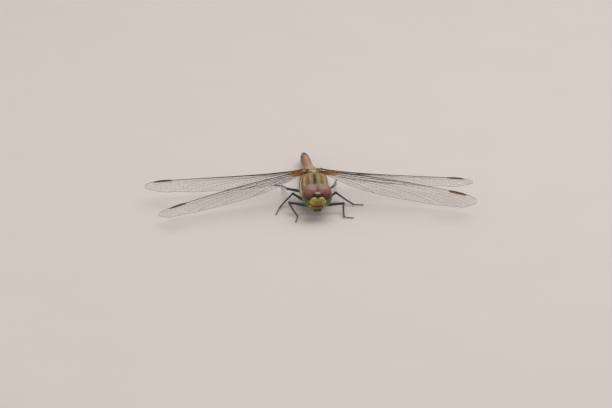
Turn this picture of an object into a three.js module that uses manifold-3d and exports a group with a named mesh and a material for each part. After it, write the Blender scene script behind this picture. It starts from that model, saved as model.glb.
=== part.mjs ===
// A perched darter dragonfly at life size, as a still model that rests on its six feet.
// Lengths are millimetres. The insect faces -Y, its own left side is +X, and the floor is z = 0.
// Places are measured from the floor point under the middle of the head, and the whole model is
// moved at the end so that its origin is the bottom centre of its box.

import * as THREE from 'three';
import { mergeVertices } from 'three/addons/utils/BufferGeometryUtils.js';
import Module from 'manifold-3d';

const wasm = await Module();
wasm.setup();

// ---------------------------------------------------------------- driving dimensions

const CLEARANCE = 0.05;
const THIN = 0.5;
const BOX_CENTRE = [-0.57, 14.33];

const EYE_RADII = [1.68, 1.9, 2.1];
const EYE_CENTRE = [1.07, 0.1, 4.5];
const EYE_TILT = 8;
const EYE_SQUARENESS = 2.35;
const EYE_SEAM = 0.2;
const EYE_BACK = 1.35;
const ANTENNA = { root: [0.62, -1.75, 5.05], direction: [0.42, -0.5, 0.76], length: 2.0 };

// Rounded forms: centre, half sizes, facets around and along, and a tilt about X in degrees.
// A paired form is made twice, mirrored about the middle of the body.
const FORMS = {
  fronsLobe: { at: [0.76, -1.5, 4.5], radii: [0.84, 0.9, 0.55], facets: [8, 6], paired: true },
  fronsFront: { at: [0, -1.35, 4.2], radii: [1.6, 1.05, 0.62], facets: [12, 6] },
  clypeus: { at: [0, -1.15, 3.55], radii: [1.6, 1.2, 0.6], facets: [12, 6] },
  labrum: { at: [0, -1.1, 2.9], radii: [1.42, 1.1, 0.55], facets: [12, 6], tilt: 12 },
  labiumLobe: { at: [0.45, -0.6, 2.35], radii: [0.72, 1.1, 0.62], facets: [10, 6], tilt: 16, paired: true },
  headCore: { at: [0, 0.3, 4.0], radii: [1.6, 1.3, 1.75], facets: [10, 8] },
  cheeks: { at: [0, -0.3, 3.1], radii: [1.95, 1.3, 0.95], facets: [10, 6] },
  crest: { at: [0, 0, 4.5], radii: [EYE_SEAM, 1.75, 1.9], facets: [8, 12] },
  vertex: { at: [0, -1.3, 5.2], radii: [0.62, 0.7, 0.5], facets: [10, 6] },
  occiput: { at: [0, 1.05, 5.95], radii: [0.6, 0.45, 0.45], facets: [8, 6] },
  collar: { at: [0, 2.2, 4.5], radii: [1.25, 0.55, 1.0], facets: [10, 6], tilt: 20 },
  chest: { at: [0, 2.1, 2.9], radii: [1.2, 0.75, 0.85], facets: [10, 6] },
  neck: { at: [0, 1.7, 4.1], radii: [0.55, 0.8, 0.5], facets: [8, 4] },
  foreShield: { at: [0, 6.7, 6.95], radii: [0.95, 0.95, 0.42], facets: [8, 6], tilt: -6 },
  hindShield: { at: [0, 8.9, 6.7], radii: [0.85, 1.0, 0.42], facets: [8, 6], tilt: -6 },
  foreHinge: { at: [1.3, 6.35, 6.6], radii: [0.75, 1.0, 0.42], facets: [8, 6], tilt: -20, paired: true },
  hindHinge: { at: [1.3, 8.95, 6.2], radii: [0.75, 1.15, 0.42], facets: [8, 6], tilt: -20, paired: true },
};

// The thorax leans back as it rises, so that the wings stand behind the legs.
const THORAX = {
  start: 2.35,
  lean: 0.5,
  level: 4.25,
  stations: [0, 0.7, 1.8, 3.2, 4.8, 6.2, 7.4, 8.3],
  halfWidth: [1.1, 1.85, 2.35, 2.55, 2.5, 2.25, 1.75, 1.2],
  top: [5.5, 6.15, 6.85, 7.2, 7.1, 6.75, 6.3, 5.95],
  bottom: [3.1, 2.3, 1.65, 1.4, 1.55, 2.1, 2.9, 3.6],
  squareness: 0.66,
  shoulder: 0.22,
  sides: 18,
  steps: 9,
};

// Segment lengths add up to the length of the path; the stations are shares of it.
const ABDOMEN = {
  path: [[0, 10.35, 4.8], [0.06, 16.8, 3.9], [0.25, 23.9, 2.55], [0.5, 31.0, 1.2]],
  segments: [0.9, 1.9, 3.2, 3.3, 3.2, 3.1, 2.7, 1.7, 1.3, 0.7],
  stations: [0, 0.04, 0.127, 0.2, 0.3, 0.5, 0.68, 0.8, 0.9, 0.97, 1],
  halfWidth: [1.05, 1.12, 1.1, 0.88, 0.8, 0.84, 0.9, 0.9, 0.82, 0.64, 0.52],
  halfHeight: [1.05, 1.15, 1.15, 0.95, 0.85, 0.85, 0.88, 0.86, 0.74, 0.56, 0.46],
  flatBelly: 0.88,
  sides: 12,
};
const CERCUS = { length: 0.95, apart: 0.29, spread: 0.08 };

// chord is how far the hind margin lies behind the straight front margin at each share of the
// length; bow curves the blade forward, sag bends it down and camber arches it across
const FORE = {
  root: [1.75, 6.1, 6.85],
  along: [0, 0.05, 0.14, 0.3, 0.48, 0.64, 0.8],
  chord: [1.1, 2.3, 4.2, 5.8, 6.5, 6.65, 6.1],
  tipChord: 2.7,
  stigma: [0.82, 0.924],
  camber: 0.25,
  bow: 0.7,
  sag: 0,
};
const HIND = {
  root: [1.75, 8.6, 6.45],
  along: [0, 0.04, 0.12, 0.25, 0.45, 0.64, 0.8],
  chord: [2.6, 4.6, 7.3, 8.4, 7.9, 7.1, 6.1],
  tipChord: 2.9,
  stigma: [0.818, 0.922],
  camber: 0.3,
  bow: 0,
  sag: 0.4,
};
// angles in degrees: sweep forward, droop, front margin raised, and how that changes to the tip
const WINGS = {
  forewing_right: { side: -1, plan: FORE, length: 28.4, sweep: 19, droop: 5.0, pitch: 47, twist: -8 },
  forewing_left: { side: 1, plan: FORE, length: 29.0, sweep: 21, droop: 3.4, pitch: 50, twist: 0 },
  hindwing_right: { side: -1, plan: HIND, length: 29.7, sweep: -1, droop: 3.1, pitch: 38, twist: 10 },
  hindwing_left: { side: 1, plan: HIND, length: 28.4, sweep: 8, droop: 3.2, pitch: 31, twist: 12 },
};
const WING_STATIONS = [
  -0.02, 0.03, 0.08, 0.14, 0.23, 0.33, 0.44, 0.56, 0.68, 0.8, 0.86, 0.91, 0.95, 0.98, 0.997,
];
const FRONT_ROUNDS_FROM = 0.86;
const BACK_ROUNDS_FROM = 0.8;
const CAMBER_CHORD = 6.5;
const STIGMA_CHORD = 0.8;
// folds along the blade: a share of the chord, and how far the fold stands off the middle
const FOLDS = [[0, 0.1], [0.1, -0.1], [0.24, 0.08], [0.6, 0], [1, 0]];
const UNFOLDED = [[0, 0], [0.5, 0], [1, 0]];

// where each leg has its hip, knee, ankle and toe
const LEGS = {
  foreleg_right: [[-1.2, 2.1, 1.75], [-4.85, 3.2, 2.05], [-3.5, 0.6, 0.3], [-4.2, -2.2, 0.17]],
  foreleg_left: [[1.2, 2.1, 1.75], [5.25, 2.5, 1.8], [5.0, -0.6, 0.3], [6.9, -0.8, 0.17]],
  midleg_right: [[-1.6, 4.1, 1.75], [-3.7, 8.2, 1.9], [-6.55, 5.0, 0.3], [-7.55, 1.9, 0.17]],
  midleg_left: [[1.6, 4.1, 1.75], [4.4, 8.3, 1.8], [7.45, 5.6, 0.3], [9.5, 5.8, 0.17]],
  hindleg_right: [[-1.8, 6.8, 2.3], [-4.5, 11.1, 1.85], [-5.0, 16.7, 0.3], [-6.5, 18.1, 0.17]],
  hindleg_left: [[1.8, 6.8, 2.3], [4.3, 11.8, 1.75], [5.3, 17.8, 0.3], [5.8, 19.8, 0.17]],
};
const COXA = { radius: 0.55, inward: 0.35, back: 0.25, height: 1.0 };
const TROCHANTER = { radius: 0.44, share: 0.16 };
const FEMUR_RADIUS = 0.36;
const TIBIA_RADIUS = 0.26;
const TARSUS_RADIUS = THIN / 2;

// ---------------------------------------------------------------- materials

function finish(color, roughness = 0.6, metalness = 0) {
  return () => new THREE.MeshStandardMaterial({ color, roughness, metalness });
}

const EYE_BROWN = finish('#8a5f52', 0.25);
const FACE_YELLOW = finish('#c9ab3f', 0.5);
const MOUTH_OCHRE = finish('#8d6f2c', 0.5);
const CAPSULE_DARK = finish('#4a3a22', 0.6);
const THORAX_OLIVE = finish('#7d6531', 0.6);
const ABDOMEN_ORANGE = finish('#a9713c', 0.55);
const TAIL_BROWN = finish('#4b3526', 0.55);
const LEG_BLACK = finish('#121313', 0.4);
const WING_CLEAR = finish('#cfcac2', 0.3);
const STIGMA_BROWN = finish('#2a1a12', 0.5);

// ---------------------------------------------------------------- solids

const vec = (x, y, z) => new THREE.Vector3(x, y, z);
const radians = THREE.MathUtils.degToRad;
const group = new THREE.Group();

function toSolid(geometry) {
  geometry.deleteAttribute('normal');
  geometry.deleteAttribute('uv');
  const merged = mergeVertices(geometry, 1e-4);
  return new wasm.Manifold(new wasm.Mesh({
    numProp: 3,
    vertProperties: new Float32Array(merged.attributes.position.array),
    triVerts: new Uint32Array(merged.index.array),
  }));
}

function toGeometry(solid) {
  const mesh = solid.getMesh();
  const geometry = new THREE.BufferGeometry();
  geometry.setAttribute('position', new THREE.BufferAttribute(mesh.vertProperties, 3));
  geometry.setIndex(new THREE.BufferAttribute(mesh.triVerts, 1));
  geometry.computeVertexNormals();
  return geometry;
}

// Adds a piece less its neighbours; slivers that the cuts leave loose are dropped.
function addPiece(name, solid, material, cutters = []) {
  const cut = cutters.reduce((left, cutter) => left.subtract(cutter), solid);
  const bodies = cut.decompose().sort((a, b) => b.volume() - a.volume());
  const mesh = new THREE.Mesh(toGeometry(bodies[0]), material());
  mesh.name = name;
  group.add(mesh);
}

// One of the rounded forms, or its mirrored pair, with every radius grown by the same amount.
function form(name, grow) {
  const { at, radii, facets, tilt = 0, paired = false } = FORMS[name];
  const sides = paired ? [1, -1] : [1];
  const solids = sides.map((side) => {
    const geometry = new THREE.SphereGeometry(1, facets[0], facets[1]);
    geometry.rotateX(Math.PI / 2);
    geometry.scale(...radii.map((radius) => radius + grow));
    geometry.rotateX(radians(tilt));
    geometry.translate(side * at[0], at[1], at[2]);
    return toSolid(geometry);
  });
  return solids.reduce((whole, solid) => whole.add(solid));
}

function forms(names, grow) {
  return names.map((name) => form(name, grow)).reduce((whole, solid) => whole.add(solid));
}

// A closed skin through equal rings of points, with a fan at each end.
function loft(rings) {
  const count = rings[0].length;
  const points = rings.flat();
  const index = [];
  for (let r = 0; r < rings.length - 1; r += 1) {
    for (let k = 0; k < count; k += 1) {
      const a = r * count + k;
      const b = r * count + ((k + 1) % count);
      index.push(a, b, b + count, a, b + count, a + count);
    }
  }
  const caps = [[rings[0], 0, 1], [rings[rings.length - 1], (rings.length - 1) * count, -1]];
  for (const [ring, start, turn] of caps) {
    const middle = ring.reduce((sum, point) => sum.add(point), vec(0, 0, 0)).divideScalar(count);
    const centre = points.push(middle) - 1;
    for (let k = 0; k < count; k += 1) {
      const a = start + k;
      const b = start + ((k + 1) % count);
      index.push(...(turn > 0 ? [centre, b, a] : [centre, a, b]));
    }
  }
  const geometry = new THREE.BufferGeometry().setFromPoints(points);
  geometry.setIndex(index);
  const solid = toSolid(geometry);
  return solid.volume() < 0 ? toSolid(flipped(geometry)) : solid;
}

function flipped(geometry) {
  const copy = geometry.clone();
  const index = Array.from(copy.index.array);
  for (let i = 0; i < index.length; i += 3) [index[i], index[i + 1]] = [index[i + 1], index[i]];
  copy.setIndex(index);
  return copy;
}

// A smooth value through a few stations.
function through(positions, values) {
  const curve = new THREE.CubicInterpolant(positions, values, 1, new Float32Array(1));
  return (t) => curve.evaluate(THREE.MathUtils.clamp(t, positions[0], positions[positions.length - 1]))[0];
}

// A straight limb whose two ends lie in given planes, so that neighbours meet at a mitre.
function limb(start, end, startNormal, endNormal, radii, { sides = 8, steps = 3, sole = false } = {}) {
  const along = end.clone().sub(start).normalize();
  const across = vec(0, 0, 1).cross(along).normalize();
  const up = along.clone().cross(across);
  const rings = [];
  for (let step = 0; step <= steps; step += 1) {
    const t = step / steps;
    const centre = start.clone().lerp(end, t);
    const radius = THREE.MathUtils.lerp(radii[0], radii[1], t);
    const normal = step === 0 ? startNormal : step === steps ? endNormal : along;
    const shift = (step === 0 ? 1 : step === steps ? -1 : 0) * CLEARANCE / 2;
    const ring = [];
    for (let k = 0; k < sides; k += 1) {
      const angle = (k + 0.5) / sides * 2 * Math.PI;
      const point = centre.clone()
        .addScaledVector(across, radius * Math.cos(angle))
        .addScaledVector(up, radius * Math.sin(angle));
      const slide = centre.clone().sub(point).dot(normal) / along.dot(normal);
      point.addScaledVector(along, slide + shift);
      if (sole) point.z = Math.max(point.z, 0);
      ring.push(point);
    }
    rings.push(ring);
  }
  return loft(rings);
}

// ---------------------------------------------------------------- head

// A slightly squared ellipsoid, flat at the seam between the two eyes and at the back of the head.
function eye(side, grow) {
  const geometry = new THREE.SphereGeometry(1, 16, 10);
  geometry.rotateX(Math.PI / 2 + radians(EYE_TILT));
  const { position } = geometry.attributes;
  for (let i = 0; i < position.count; i += 1) {
    const point = vec().fromBufferAttribute(position, i);
    const powers = point.toArray().reduce((sum, value) => sum + Math.abs(value) ** EYE_SQUARENESS, 0);
    point.divideScalar(powers ** (1 / EYE_SQUARENESS));
    const [x, y, z] = point.toArray().map((value, axis) => value * (EYE_RADII[axis] + grow));
    position.setXYZ(
      i,
      side * Math.max(EYE_CENTRE[0] + side * x, EYE_SEAM - grow),
      Math.min(EYE_CENTRE[1] + y, EYE_BACK + grow),
      EYE_CENTRE[2] + z,
    );
  }
  return toSolid(geometry);
}

function antenna(side) {
  const base = vec(...ANTENNA.root);
  const along = vec(...ANTENNA.direction).normalize();
  base.x *= side;
  along.x *= side;
  const tip = base.clone().addScaledVector(along, ANTENNA.length);
  return limb(base, tip, along, along, [THIN / 2, THIN / 2], { sides: 6, steps: 1 });
}

// The core carries a thin crest between the eyes, with the vertex in front and the occiput behind.
const HEAD_PIECES = [
  ['eye_right', (grow) => eye(-1, grow), EYE_BROWN],
  ['eye_left', (grow) => eye(1, grow), EYE_BROWN],
  ['head', (grow) => forms(['headCore', 'cheeks', 'crest', 'vertex', 'occiput'], grow), CAPSULE_DARK],
  ['frons', (grow) => forms(['fronsFront', 'fronsLobe'], grow), FACE_YELLOW],
  ['clypeus', (grow) => form('clypeus', grow), FACE_YELLOW],
  ['labrum', (grow) => form('labrum', grow), MOUTH_OCHRE],
  ['labium', (grow) => form('labiumLobe', grow), MOUTH_OCHRE],
];

// Each piece of the head is cut by those before it; returns them all, grown by the clearance.
function buildHead() {
  const cutters = [];
  for (const [name, shape, material] of HEAD_PIECES) {
    addPiece(name, shape(0), material, cutters);
    cutters.push(shape(CLEARANCE));
  }
  addPiece('antenna_right', antenna(-1), CAPSULE_DARK, cutters);
  addPiece('antenna_left', antenna(1), CAPSULE_DARK, cutters);
  return cutters;
}

// ---------------------------------------------------------------- thorax

const thoraxHalfWidth = through(THORAX.stations, THORAX.halfWidth);
const thoraxTop = through(THORAX.stations, THORAX.top);
const thoraxBottom = through(THORAX.stations, THORAX.bottom);

function thoraxRing(along, reach, grow) {
  const top = thoraxTop(along) + grow;
  const bottom = thoraxBottom(along) - grow;
  const width = thoraxHalfWidth(along) + grow;
  const ring = [];
  for (let k = 0; k < THORAX.sides; k += 1) {
    const angle = k / THORAX.sides * 2 * Math.PI;
    const rise = Math.sin(angle);
    const across = Math.sign(Math.cos(angle)) * Math.abs(Math.cos(angle)) ** THORAX.squareness;
    const x = width * across * (1 - THORAX.shoulder * Math.max(rise, 0));
    const z = (top + bottom) / 2 + (top - bottom) / 2 * rise;
    ring.push(vec(x, THORAX.start + along + reach + THORAX.lean * (z - THORAX.level), z));
  }
  return ring;
}

function thorax(grow) {
  const length = THORAX.stations[THORAX.stations.length - 1];
  const rings = [];
  for (let step = 0; step <= THORAX.steps; step += 1) {
    const reach = (step === 0 ? -grow : 0) + (step === THORAX.steps ? grow : 0);
    rings.push(thoraxRing(length * step / THORAX.steps, reach, grow));
  }
  return loft(rings).add(forms(['foreShield', 'hindShield', 'foreHinge', 'hindHinge'], grow));
}

function prothorax(grow) {
  return forms(['collar', 'chest', 'neck'], grow);
}

// ---------------------------------------------------------------- abdomen

const abdomenPath = new THREE.CatmullRomCurve3(ABDOMEN.path.map((point) => vec(...point)));
const abdomenHalfWidth = through(ABDOMEN.stations, ABDOMEN.halfWidth);
const abdomenHalfHeight = through(ABDOMEN.stations, ABDOMEN.halfHeight);

function abdomenRing(t) {
  const centre = abdomenPath.getPointAt(t);
  const along = abdomenPath.getTangentAt(t);
  const across = along.clone().cross(vec(0, 0, 1)).normalize();
  const up = across.clone().cross(along);
  const ring = [];
  for (let k = 0; k < ABDOMEN.sides; k += 1) {
    const angle = k / ABDOMEN.sides * 2 * Math.PI;
    const height = abdomenHalfHeight(t) * (Math.sin(angle) < 0 ? ABDOMEN.flatBelly : 1);
    ring.push(centre.clone()
      .addScaledVector(across, abdomenHalfWidth(t) * Math.cos(angle))
      .addScaledVector(up, height * Math.sin(angle)));
  }
  return ring;
}

function buildAbdomen(cutters) {
  const total = ABDOMEN.segments.reduce((sum, length) => sum + length, 0);
  const gap = CLEARANCE / 2 / total;
  let start = 0;
  ABDOMEN.segments.forEach((length, number) => {
    const end = start + length / total;
    const steps = length > 2 ? 4 : 2;
    const rings = [];
    for (let step = 0; step <= steps; step += 1) {
      rings.push(abdomenRing(THREE.MathUtils.lerp(start + gap, Math.min(end, 1) - gap, step / steps)));
    }
    const material = number > 7 ? TAIL_BROWN : ABDOMEN_ORANGE;
    addPiece(`abdomen_${number + 1}`, loft(rings), material, number === 0 ? cutters : []);
    start = end;
  });
  const tail = abdomenPath.getPointAt(1);
  const along = abdomenPath.getTangentAt(1);
  const across = along.clone().cross(vec(0, 0, 1)).normalize();
  for (const [name, side] of [['cercus_right', -1], ['cercus_left', 1]]) {
    const root = tail.clone().addScaledVector(across, side * CERCUS.apart).addScaledVector(along, CLEARANCE);
    const tip = root.clone()
      .addScaledVector(along, CERCUS.length)
      .addScaledVector(across, side * CERCUS.spread);
    addPiece(name, limb(root, tip, along, along, [THIN / 2, THIN / 2], { steps: 2 }), TAIL_BROWN);
  }
}

// ---------------------------------------------------------------- wings

// 1 along the blade, falling to 0 at the tip from the station where the rounding starts.
function rounding(u, start) {
  const t = THREE.MathUtils.clamp((u - start) / (1 - start), 0, 1);
  return (1 - t ** 1.9) ** 0.56;
}

// The middle surface of a wing, and its front and hind margins as chords along it.
function makeWing(wing) {
  const { plan, side, length } = wing;
  const [sweep, droop] = [radians(wing.sweep), radians(wing.droop)];
  const level = vec(side * Math.cos(sweep), -Math.sin(sweep), 0);
  const span = level.multiplyScalar(Math.cos(droop)).setZ(-Math.sin(droop));
  const back = vec(0, 0, 1).cross(span).multiplyScalar(side).normalize();
  const above = span.clone().cross(back).multiplyScalar(side).normalize();
  const root = vec(side * plan.root[0], plan.root[1], plan.root[2]);
  const chord = through(plan.along, plan.chord);
  const front = (u) => THREE.MathUtils.lerp(plan.tipChord, 0, rounding(u, FRONT_ROUNDS_FROM));
  const rear = (u) => {
    const widest = chord(Math.min(u, BACK_ROUNDS_FROM));
    return THREE.MathUtils.lerp(plan.tipChord, widest, rounding(u, BACK_ROUNDS_FROM));
  };

  const surface = (u, behind, height) => {
    const pitch = radians(wing.pitch + wing.twist * (u - 0.4));
    const down = back.clone().multiplyScalar(Math.cos(pitch)).addScaledVector(above, -Math.sin(pitch));
    const normal = back.clone().multiplyScalar(Math.sin(pitch)).addScaledVector(above, Math.cos(pitch));
    const share = THREE.MathUtils.clamp(u / 0.9, 0, 1);
    const bow = plan.bow * Math.sin(Math.PI * share);
    const sag = plan.sag * Math.sin(Math.PI * share ** 0.6);
    const camber = plan.camber * Math.sin(Math.PI * Math.min(behind / CAMBER_CHORD, 1));
    return root.clone()
      .addScaledVector(span, u * length)
      .addScaledVector(down, behind - bow)
      .addScaledVector(normal, camber - sag + height);
  };
  return { surface, front, rear };
}

// A plate between two stations along the wing and two chords, thickened both ways.
function wingPlate({ surface }, stations, front, rear, folds, thickness) {
  const rings = stations.map((u) => {
    const level = (sign) => folds.map(([share, fold]) => (
      surface(u, THREE.MathUtils.lerp(front(u), rear(u), share), fold + sign * thickness / 2)));
    return [...level(1), ...level(-1).reverse()];
  });
  return loft(rings);
}

// The blade, with the dark cell near its tip as a piece of its own.
function buildWing(name, wing, cutters) {
  const shape = makeWing(wing);
  const blade = wingPlate(shape, WING_STATIONS, shape.front, shape.rear, FOLDS, THIN);
  const [start, end] = wing.plan.stigma;
  const cell = (gap) => wingPlate(
    shape,
    [start - gap / wing.length, (start + end) / 2, end + gap / wing.length],
    () => -2 * STIGMA_CHORD,
    () => STIGMA_CHORD + gap,
    UNFOLDED,
    3 * THIN,
  );
  addPiece(name, blade.subtract(cell(CLEARANCE)), WING_CLEAR, cutters);
  addPiece(`${name}_stigma`, blade.intersect(cell(0)), STIGMA_BROWN);
}

// ---------------------------------------------------------------- legs

function bisector(before, joint, after) {
  const incoming = joint.clone().sub(before).normalize();
  const outgoing = after.clone().sub(joint).normalize();
  return incoming.add(outgoing).normalize();
}

function buildLeg(name, points, cutters) {
  const [hip, knee, ankle, toe] = points.map((point) => vec(...point));
  const inward = -Math.sign(hip.x) * COXA.inward;
  const breast = hip.clone().add(vec(inward, COXA.back, COXA.height));
  const thigh = hip.clone().lerp(knee, TROCHANTER.share);
  const down = hip.clone().sub(breast).normalize();
  const out = knee.clone().sub(hip).normalize();
  const atKnee = bisector(thigh, knee, ankle);
  const atAnkle = bisector(knee, ankle, toe);
  const forward = toe.clone().sub(ankle).normalize();

  const plain = { sides: 6, steps: 1 };
  const coxa = limb(breast, hip, down, down, [COXA.radius, COXA.radius], plain);
  const start = hip.clone().addScaledVector(down, -COXA.radius / 2);
  const trochanter = limb(start, thigh, out, out, [TROCHANTER.radius, FEMUR_RADIUS], plain);
  const femur = limb(thigh, knee, out, atKnee, [FEMUR_RADIUS, TIBIA_RADIUS]);
  const tibia = limb(knee, ankle, atKnee, atAnkle, [TIBIA_RADIUS, TARSUS_RADIUS]);
  const sole = { sole: true, steps: 4 };
  const tarsus = limb(ankle, toe, atAnkle, forward, [TARSUS_RADIUS, TARSUS_RADIUS], sole);
  addPiece(`${name}_coxa`, coxa.add(trochanter), CAPSULE_DARK, cutters);
  addPiece(`${name}_femur`, femur, LEG_BLACK, cutters);
  addPiece(`${name}_tibia`, tibia, LEG_BLACK);
  addPiece(`${name}_tarsus`, tarsus, LEG_BLACK);
}

// ---------------------------------------------------------------- assembly

const headCutters = buildHead();
addPiece('prothorax', prothorax(0), THORAX_OLIVE, [...headCutters, thorax(CLEARANCE)]);
addPiece('thorax', thorax(0), THORAX_OLIVE);
const bodyCutters = [...headCutters, thorax(CLEARANCE), prothorax(CLEARANCE)];
buildAbdomen(bodyCutters);
for (const [name, wing] of Object.entries(WINGS)) buildWing(name, wing, bodyCutters);
for (const [name, points] of Object.entries(LEGS)) buildLeg(name, points, bodyCutters);

group.position.set(-BOX_CENTRE[0], -BOX_CENTRE[1], 0);

export default group;
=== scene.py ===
"""The finish of a perched darter dragonfly at life size, built round its fixed frame.

Shapes are worked out in millimetres, measured from the floor point under the middle of the head,
with the insect facing -Y and its own left side at +X. They move into the frame as a mesh is made.
"""

import math

import bmesh
import bpy
import numpy as np
from bpy.props import FloatProperty, FloatVectorProperty, IntProperty, PointerProperty
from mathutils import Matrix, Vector
from mathutils.geometry import delaunay_2d_cdt


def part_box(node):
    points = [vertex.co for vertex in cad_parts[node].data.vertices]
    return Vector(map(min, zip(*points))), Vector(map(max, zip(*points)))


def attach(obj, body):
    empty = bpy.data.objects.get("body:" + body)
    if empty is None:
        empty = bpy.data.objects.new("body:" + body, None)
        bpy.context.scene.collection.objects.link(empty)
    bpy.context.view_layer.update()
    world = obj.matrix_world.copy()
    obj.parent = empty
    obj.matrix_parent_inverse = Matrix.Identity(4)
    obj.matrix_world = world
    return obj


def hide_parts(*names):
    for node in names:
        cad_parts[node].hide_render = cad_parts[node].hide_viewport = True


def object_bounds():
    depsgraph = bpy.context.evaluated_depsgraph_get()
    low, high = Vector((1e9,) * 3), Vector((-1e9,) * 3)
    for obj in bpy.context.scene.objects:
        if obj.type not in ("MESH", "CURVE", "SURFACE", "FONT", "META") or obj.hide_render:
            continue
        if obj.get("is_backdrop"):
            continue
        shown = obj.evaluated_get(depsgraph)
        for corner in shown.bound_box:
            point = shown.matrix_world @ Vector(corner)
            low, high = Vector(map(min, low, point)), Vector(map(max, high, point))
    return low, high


bl_info = {
    "name": "Perched Darter Dragonfly",
    "version": (1, 0, 0),
    "blender": (4, 5, 0),
    "location": "View3D > Sidebar > Dragonfly",
    "description": "Builds the skins, wings, legs and hair of a perched darter",
    "category": "Object",
}

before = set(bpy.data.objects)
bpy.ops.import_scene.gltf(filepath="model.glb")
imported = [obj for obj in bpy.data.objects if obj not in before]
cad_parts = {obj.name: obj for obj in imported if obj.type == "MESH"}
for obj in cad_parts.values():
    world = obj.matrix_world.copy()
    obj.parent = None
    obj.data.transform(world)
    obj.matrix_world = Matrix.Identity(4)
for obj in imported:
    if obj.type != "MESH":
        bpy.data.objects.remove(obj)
cad_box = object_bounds()

MM = 0.001
RIGHT, LEFT = -1, 1
SIDES = {"right": RIGHT, "left": LEFT}

# ---- the body's driving sizes

EYE_RADII = (1.68, 1.9, 2.04)
EYE_CENTRE = (1.07, 0.1, 4.5)
EYE_SQUARENESS = 2.5
EYE_SEAM = 0.012
EYE_BACK = 1.35

THORAX_START = 2.35
THORAX_LEAN = 0.5
THORAX_LEVEL = 4.25
THORAX_STATIONS = (0, 0.7, 1.8, 3.2, 4.8, 6.2, 7.4, 8.3)
THORAX_HALF_WIDTH = (1.1, 1.9, 2.5, 2.74, 2.64, 2.28, 1.75, 1.2)
THORAX_TOP = (5.5, 6.15, 6.85, 6.65, 6.32, 5.98, 5.62, 5.4)
THORAX_BOTTOM = (3.1, 2.3, 1.65, 1.4, 1.55, 2.1, 2.9, 3.6)

ABDOMEN_PATH = ((0, 10.35, 4.8), (0.06, 16.8, 3.9), (0.25, 23.9, 2.55), (0.5, 31.0, 1.2))
ABDOMEN_SEGMENTS = (0.9, 1.9, 3.2, 3.3, 3.2, 3.1, 2.7, 1.7, 1.3, 0.7)
ABDOMEN_STATIONS = (0, 0.04, 0.127, 0.2, 0.3, 0.5, 0.68, 0.8, 0.9, 0.97, 1)
ABDOMEN_HALF_WIDTH = (1.05, 1.12, 1.1, 0.88, 0.79, 0.81, 0.85, 0.82, 0.68, 0.48, 0.36)
ABDOMEN_HALF_HEIGHT = (1.05, 1.15, 1.15, 0.95, 0.85, 0.85, 0.88, 0.85, 0.72, 0.54, 0.42)

# each leg: hip, knee, ankle and toe
LEGS = {
    "foreleg_right": ((-1.2, 2.1, 1.75), (-4.85, 3.2, 2.05), (-3.5, 0.6, 0.3), (-4.2, -2.2, 0.17)),
    "foreleg_left": ((1.2, 2.1, 1.75), (5.25, 2.5, 1.8), (5.0, -0.6, 0.3), (6.9, -0.8, 0.17)),
    "midleg_right": ((-1.6, 4.1, 1.75), (-3.7, 8.2, 1.9), (-6.55, 5.0, 0.3), (-7.55, 1.9, 0.17)),
    "midleg_left": ((1.6, 4.1, 1.75), (4.4, 8.3, 1.8), (7.45, 5.6, 0.3), (9.5, 5.8, 0.17)),
    "hindleg_right": ((-1.8, 7.1, 2.6), (-4.5, 11.1, 1.8), (-5.0, 16.7, 0.3), (-6.5, 18.1, 0.17)),
    "hindleg_left": ((1.8, 6.8, 2.3), (4.3, 11.8, 1.75), (5.3, 17.8, 0.3), (5.8, 19.8, 0.17)),
}

# chord is how far the hind margin lies behind the straight front margin at each share of the
# length; bow curves the blade forward, sag bends it down and camber arches it across
FORE_PLAN = {
    "root": (1.75, 6.1, 6.85),
    "along": (0, 0.05, 0.14, 0.3, 0.48, 0.64, 0.8),
    "chord": (1.1, 2.3, 4.2, 5.8, 6.5, 6.65, 6.1),
    "tip_chord": 2.7,
    "stigma": (0.828, 0.936),
    "nodus": 0.53,
    "camber": 0.25,
    "bow": 0.7,
    "sag": 0.0,
    "amber": 1.5,
}
HIND_PLAN = {
    "root": (1.75, 8.6, 6.45),
    "along": (0, 0.04, 0.12, 0.25, 0.45, 0.64, 0.8),
    "chord": (2.6, 4.6, 7.3, 8.4, 7.9, 7.1, 6.1),
    "tip_chord": 2.9,
    "stigma": (0.828, 0.94),
    "nodus": 0.44,
    "camber": 0.3,
    "bow": 0.0,
    "sag": 0.4,
    "amber": 2.6,
}
# each wing's plan, side and length, then angles in degrees: how far it sweeps forward and droops,
# how far its front margin is raised, and how that changes along the blade
WINGS = {
    "forewing_right": ({**FORE_PLAN, "sag": -0.15}, RIGHT, 28.7, 19.5, 5.6, 47, -8),
    "forewing_left": (FORE_PLAN, LEFT, 29.0, 21, 3.4, 50, 0),
    "hindwing_right": (HIND_PLAN, RIGHT, 29.7, -1, 3.1, 38, 10),
    "hindwing_left": (HIND_PLAN, LEFT, 28.4, 8, 3.2, 31, 12),
}
FRONT_ROUNDS_FROM = 0.86
BACK_ROUNDS_FROM = 0.8
CAMBER_CHORD = 6.5

# ---- properties


def number(name, description, value, **options):
    return FloatProperty(name=name, description=description, default=value, **options)


def size(name, description, millimetres):
    return number(name, description, millimetres * MM, min=0, unit="LENGTH", precision=6)


def count(name, description, value):
    return IntProperty(name=name, description=description, default=value, min=0)


def linear(code):
    """A colour code as linear red, green and blue."""
    values = [int(code[i:i + 2], 16) / 255 for i in (0, 2, 4)]
    return [v / 12.92 if v < 0.04045 else ((v + 0.055) / 1.055) ** 2.4 for v in values]


def colour(name, description, code):
    return FloatVectorProperty(
        name=name, description=description, default=linear(code), min=0, max=1, size=3,
        subtype="COLOR")


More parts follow.
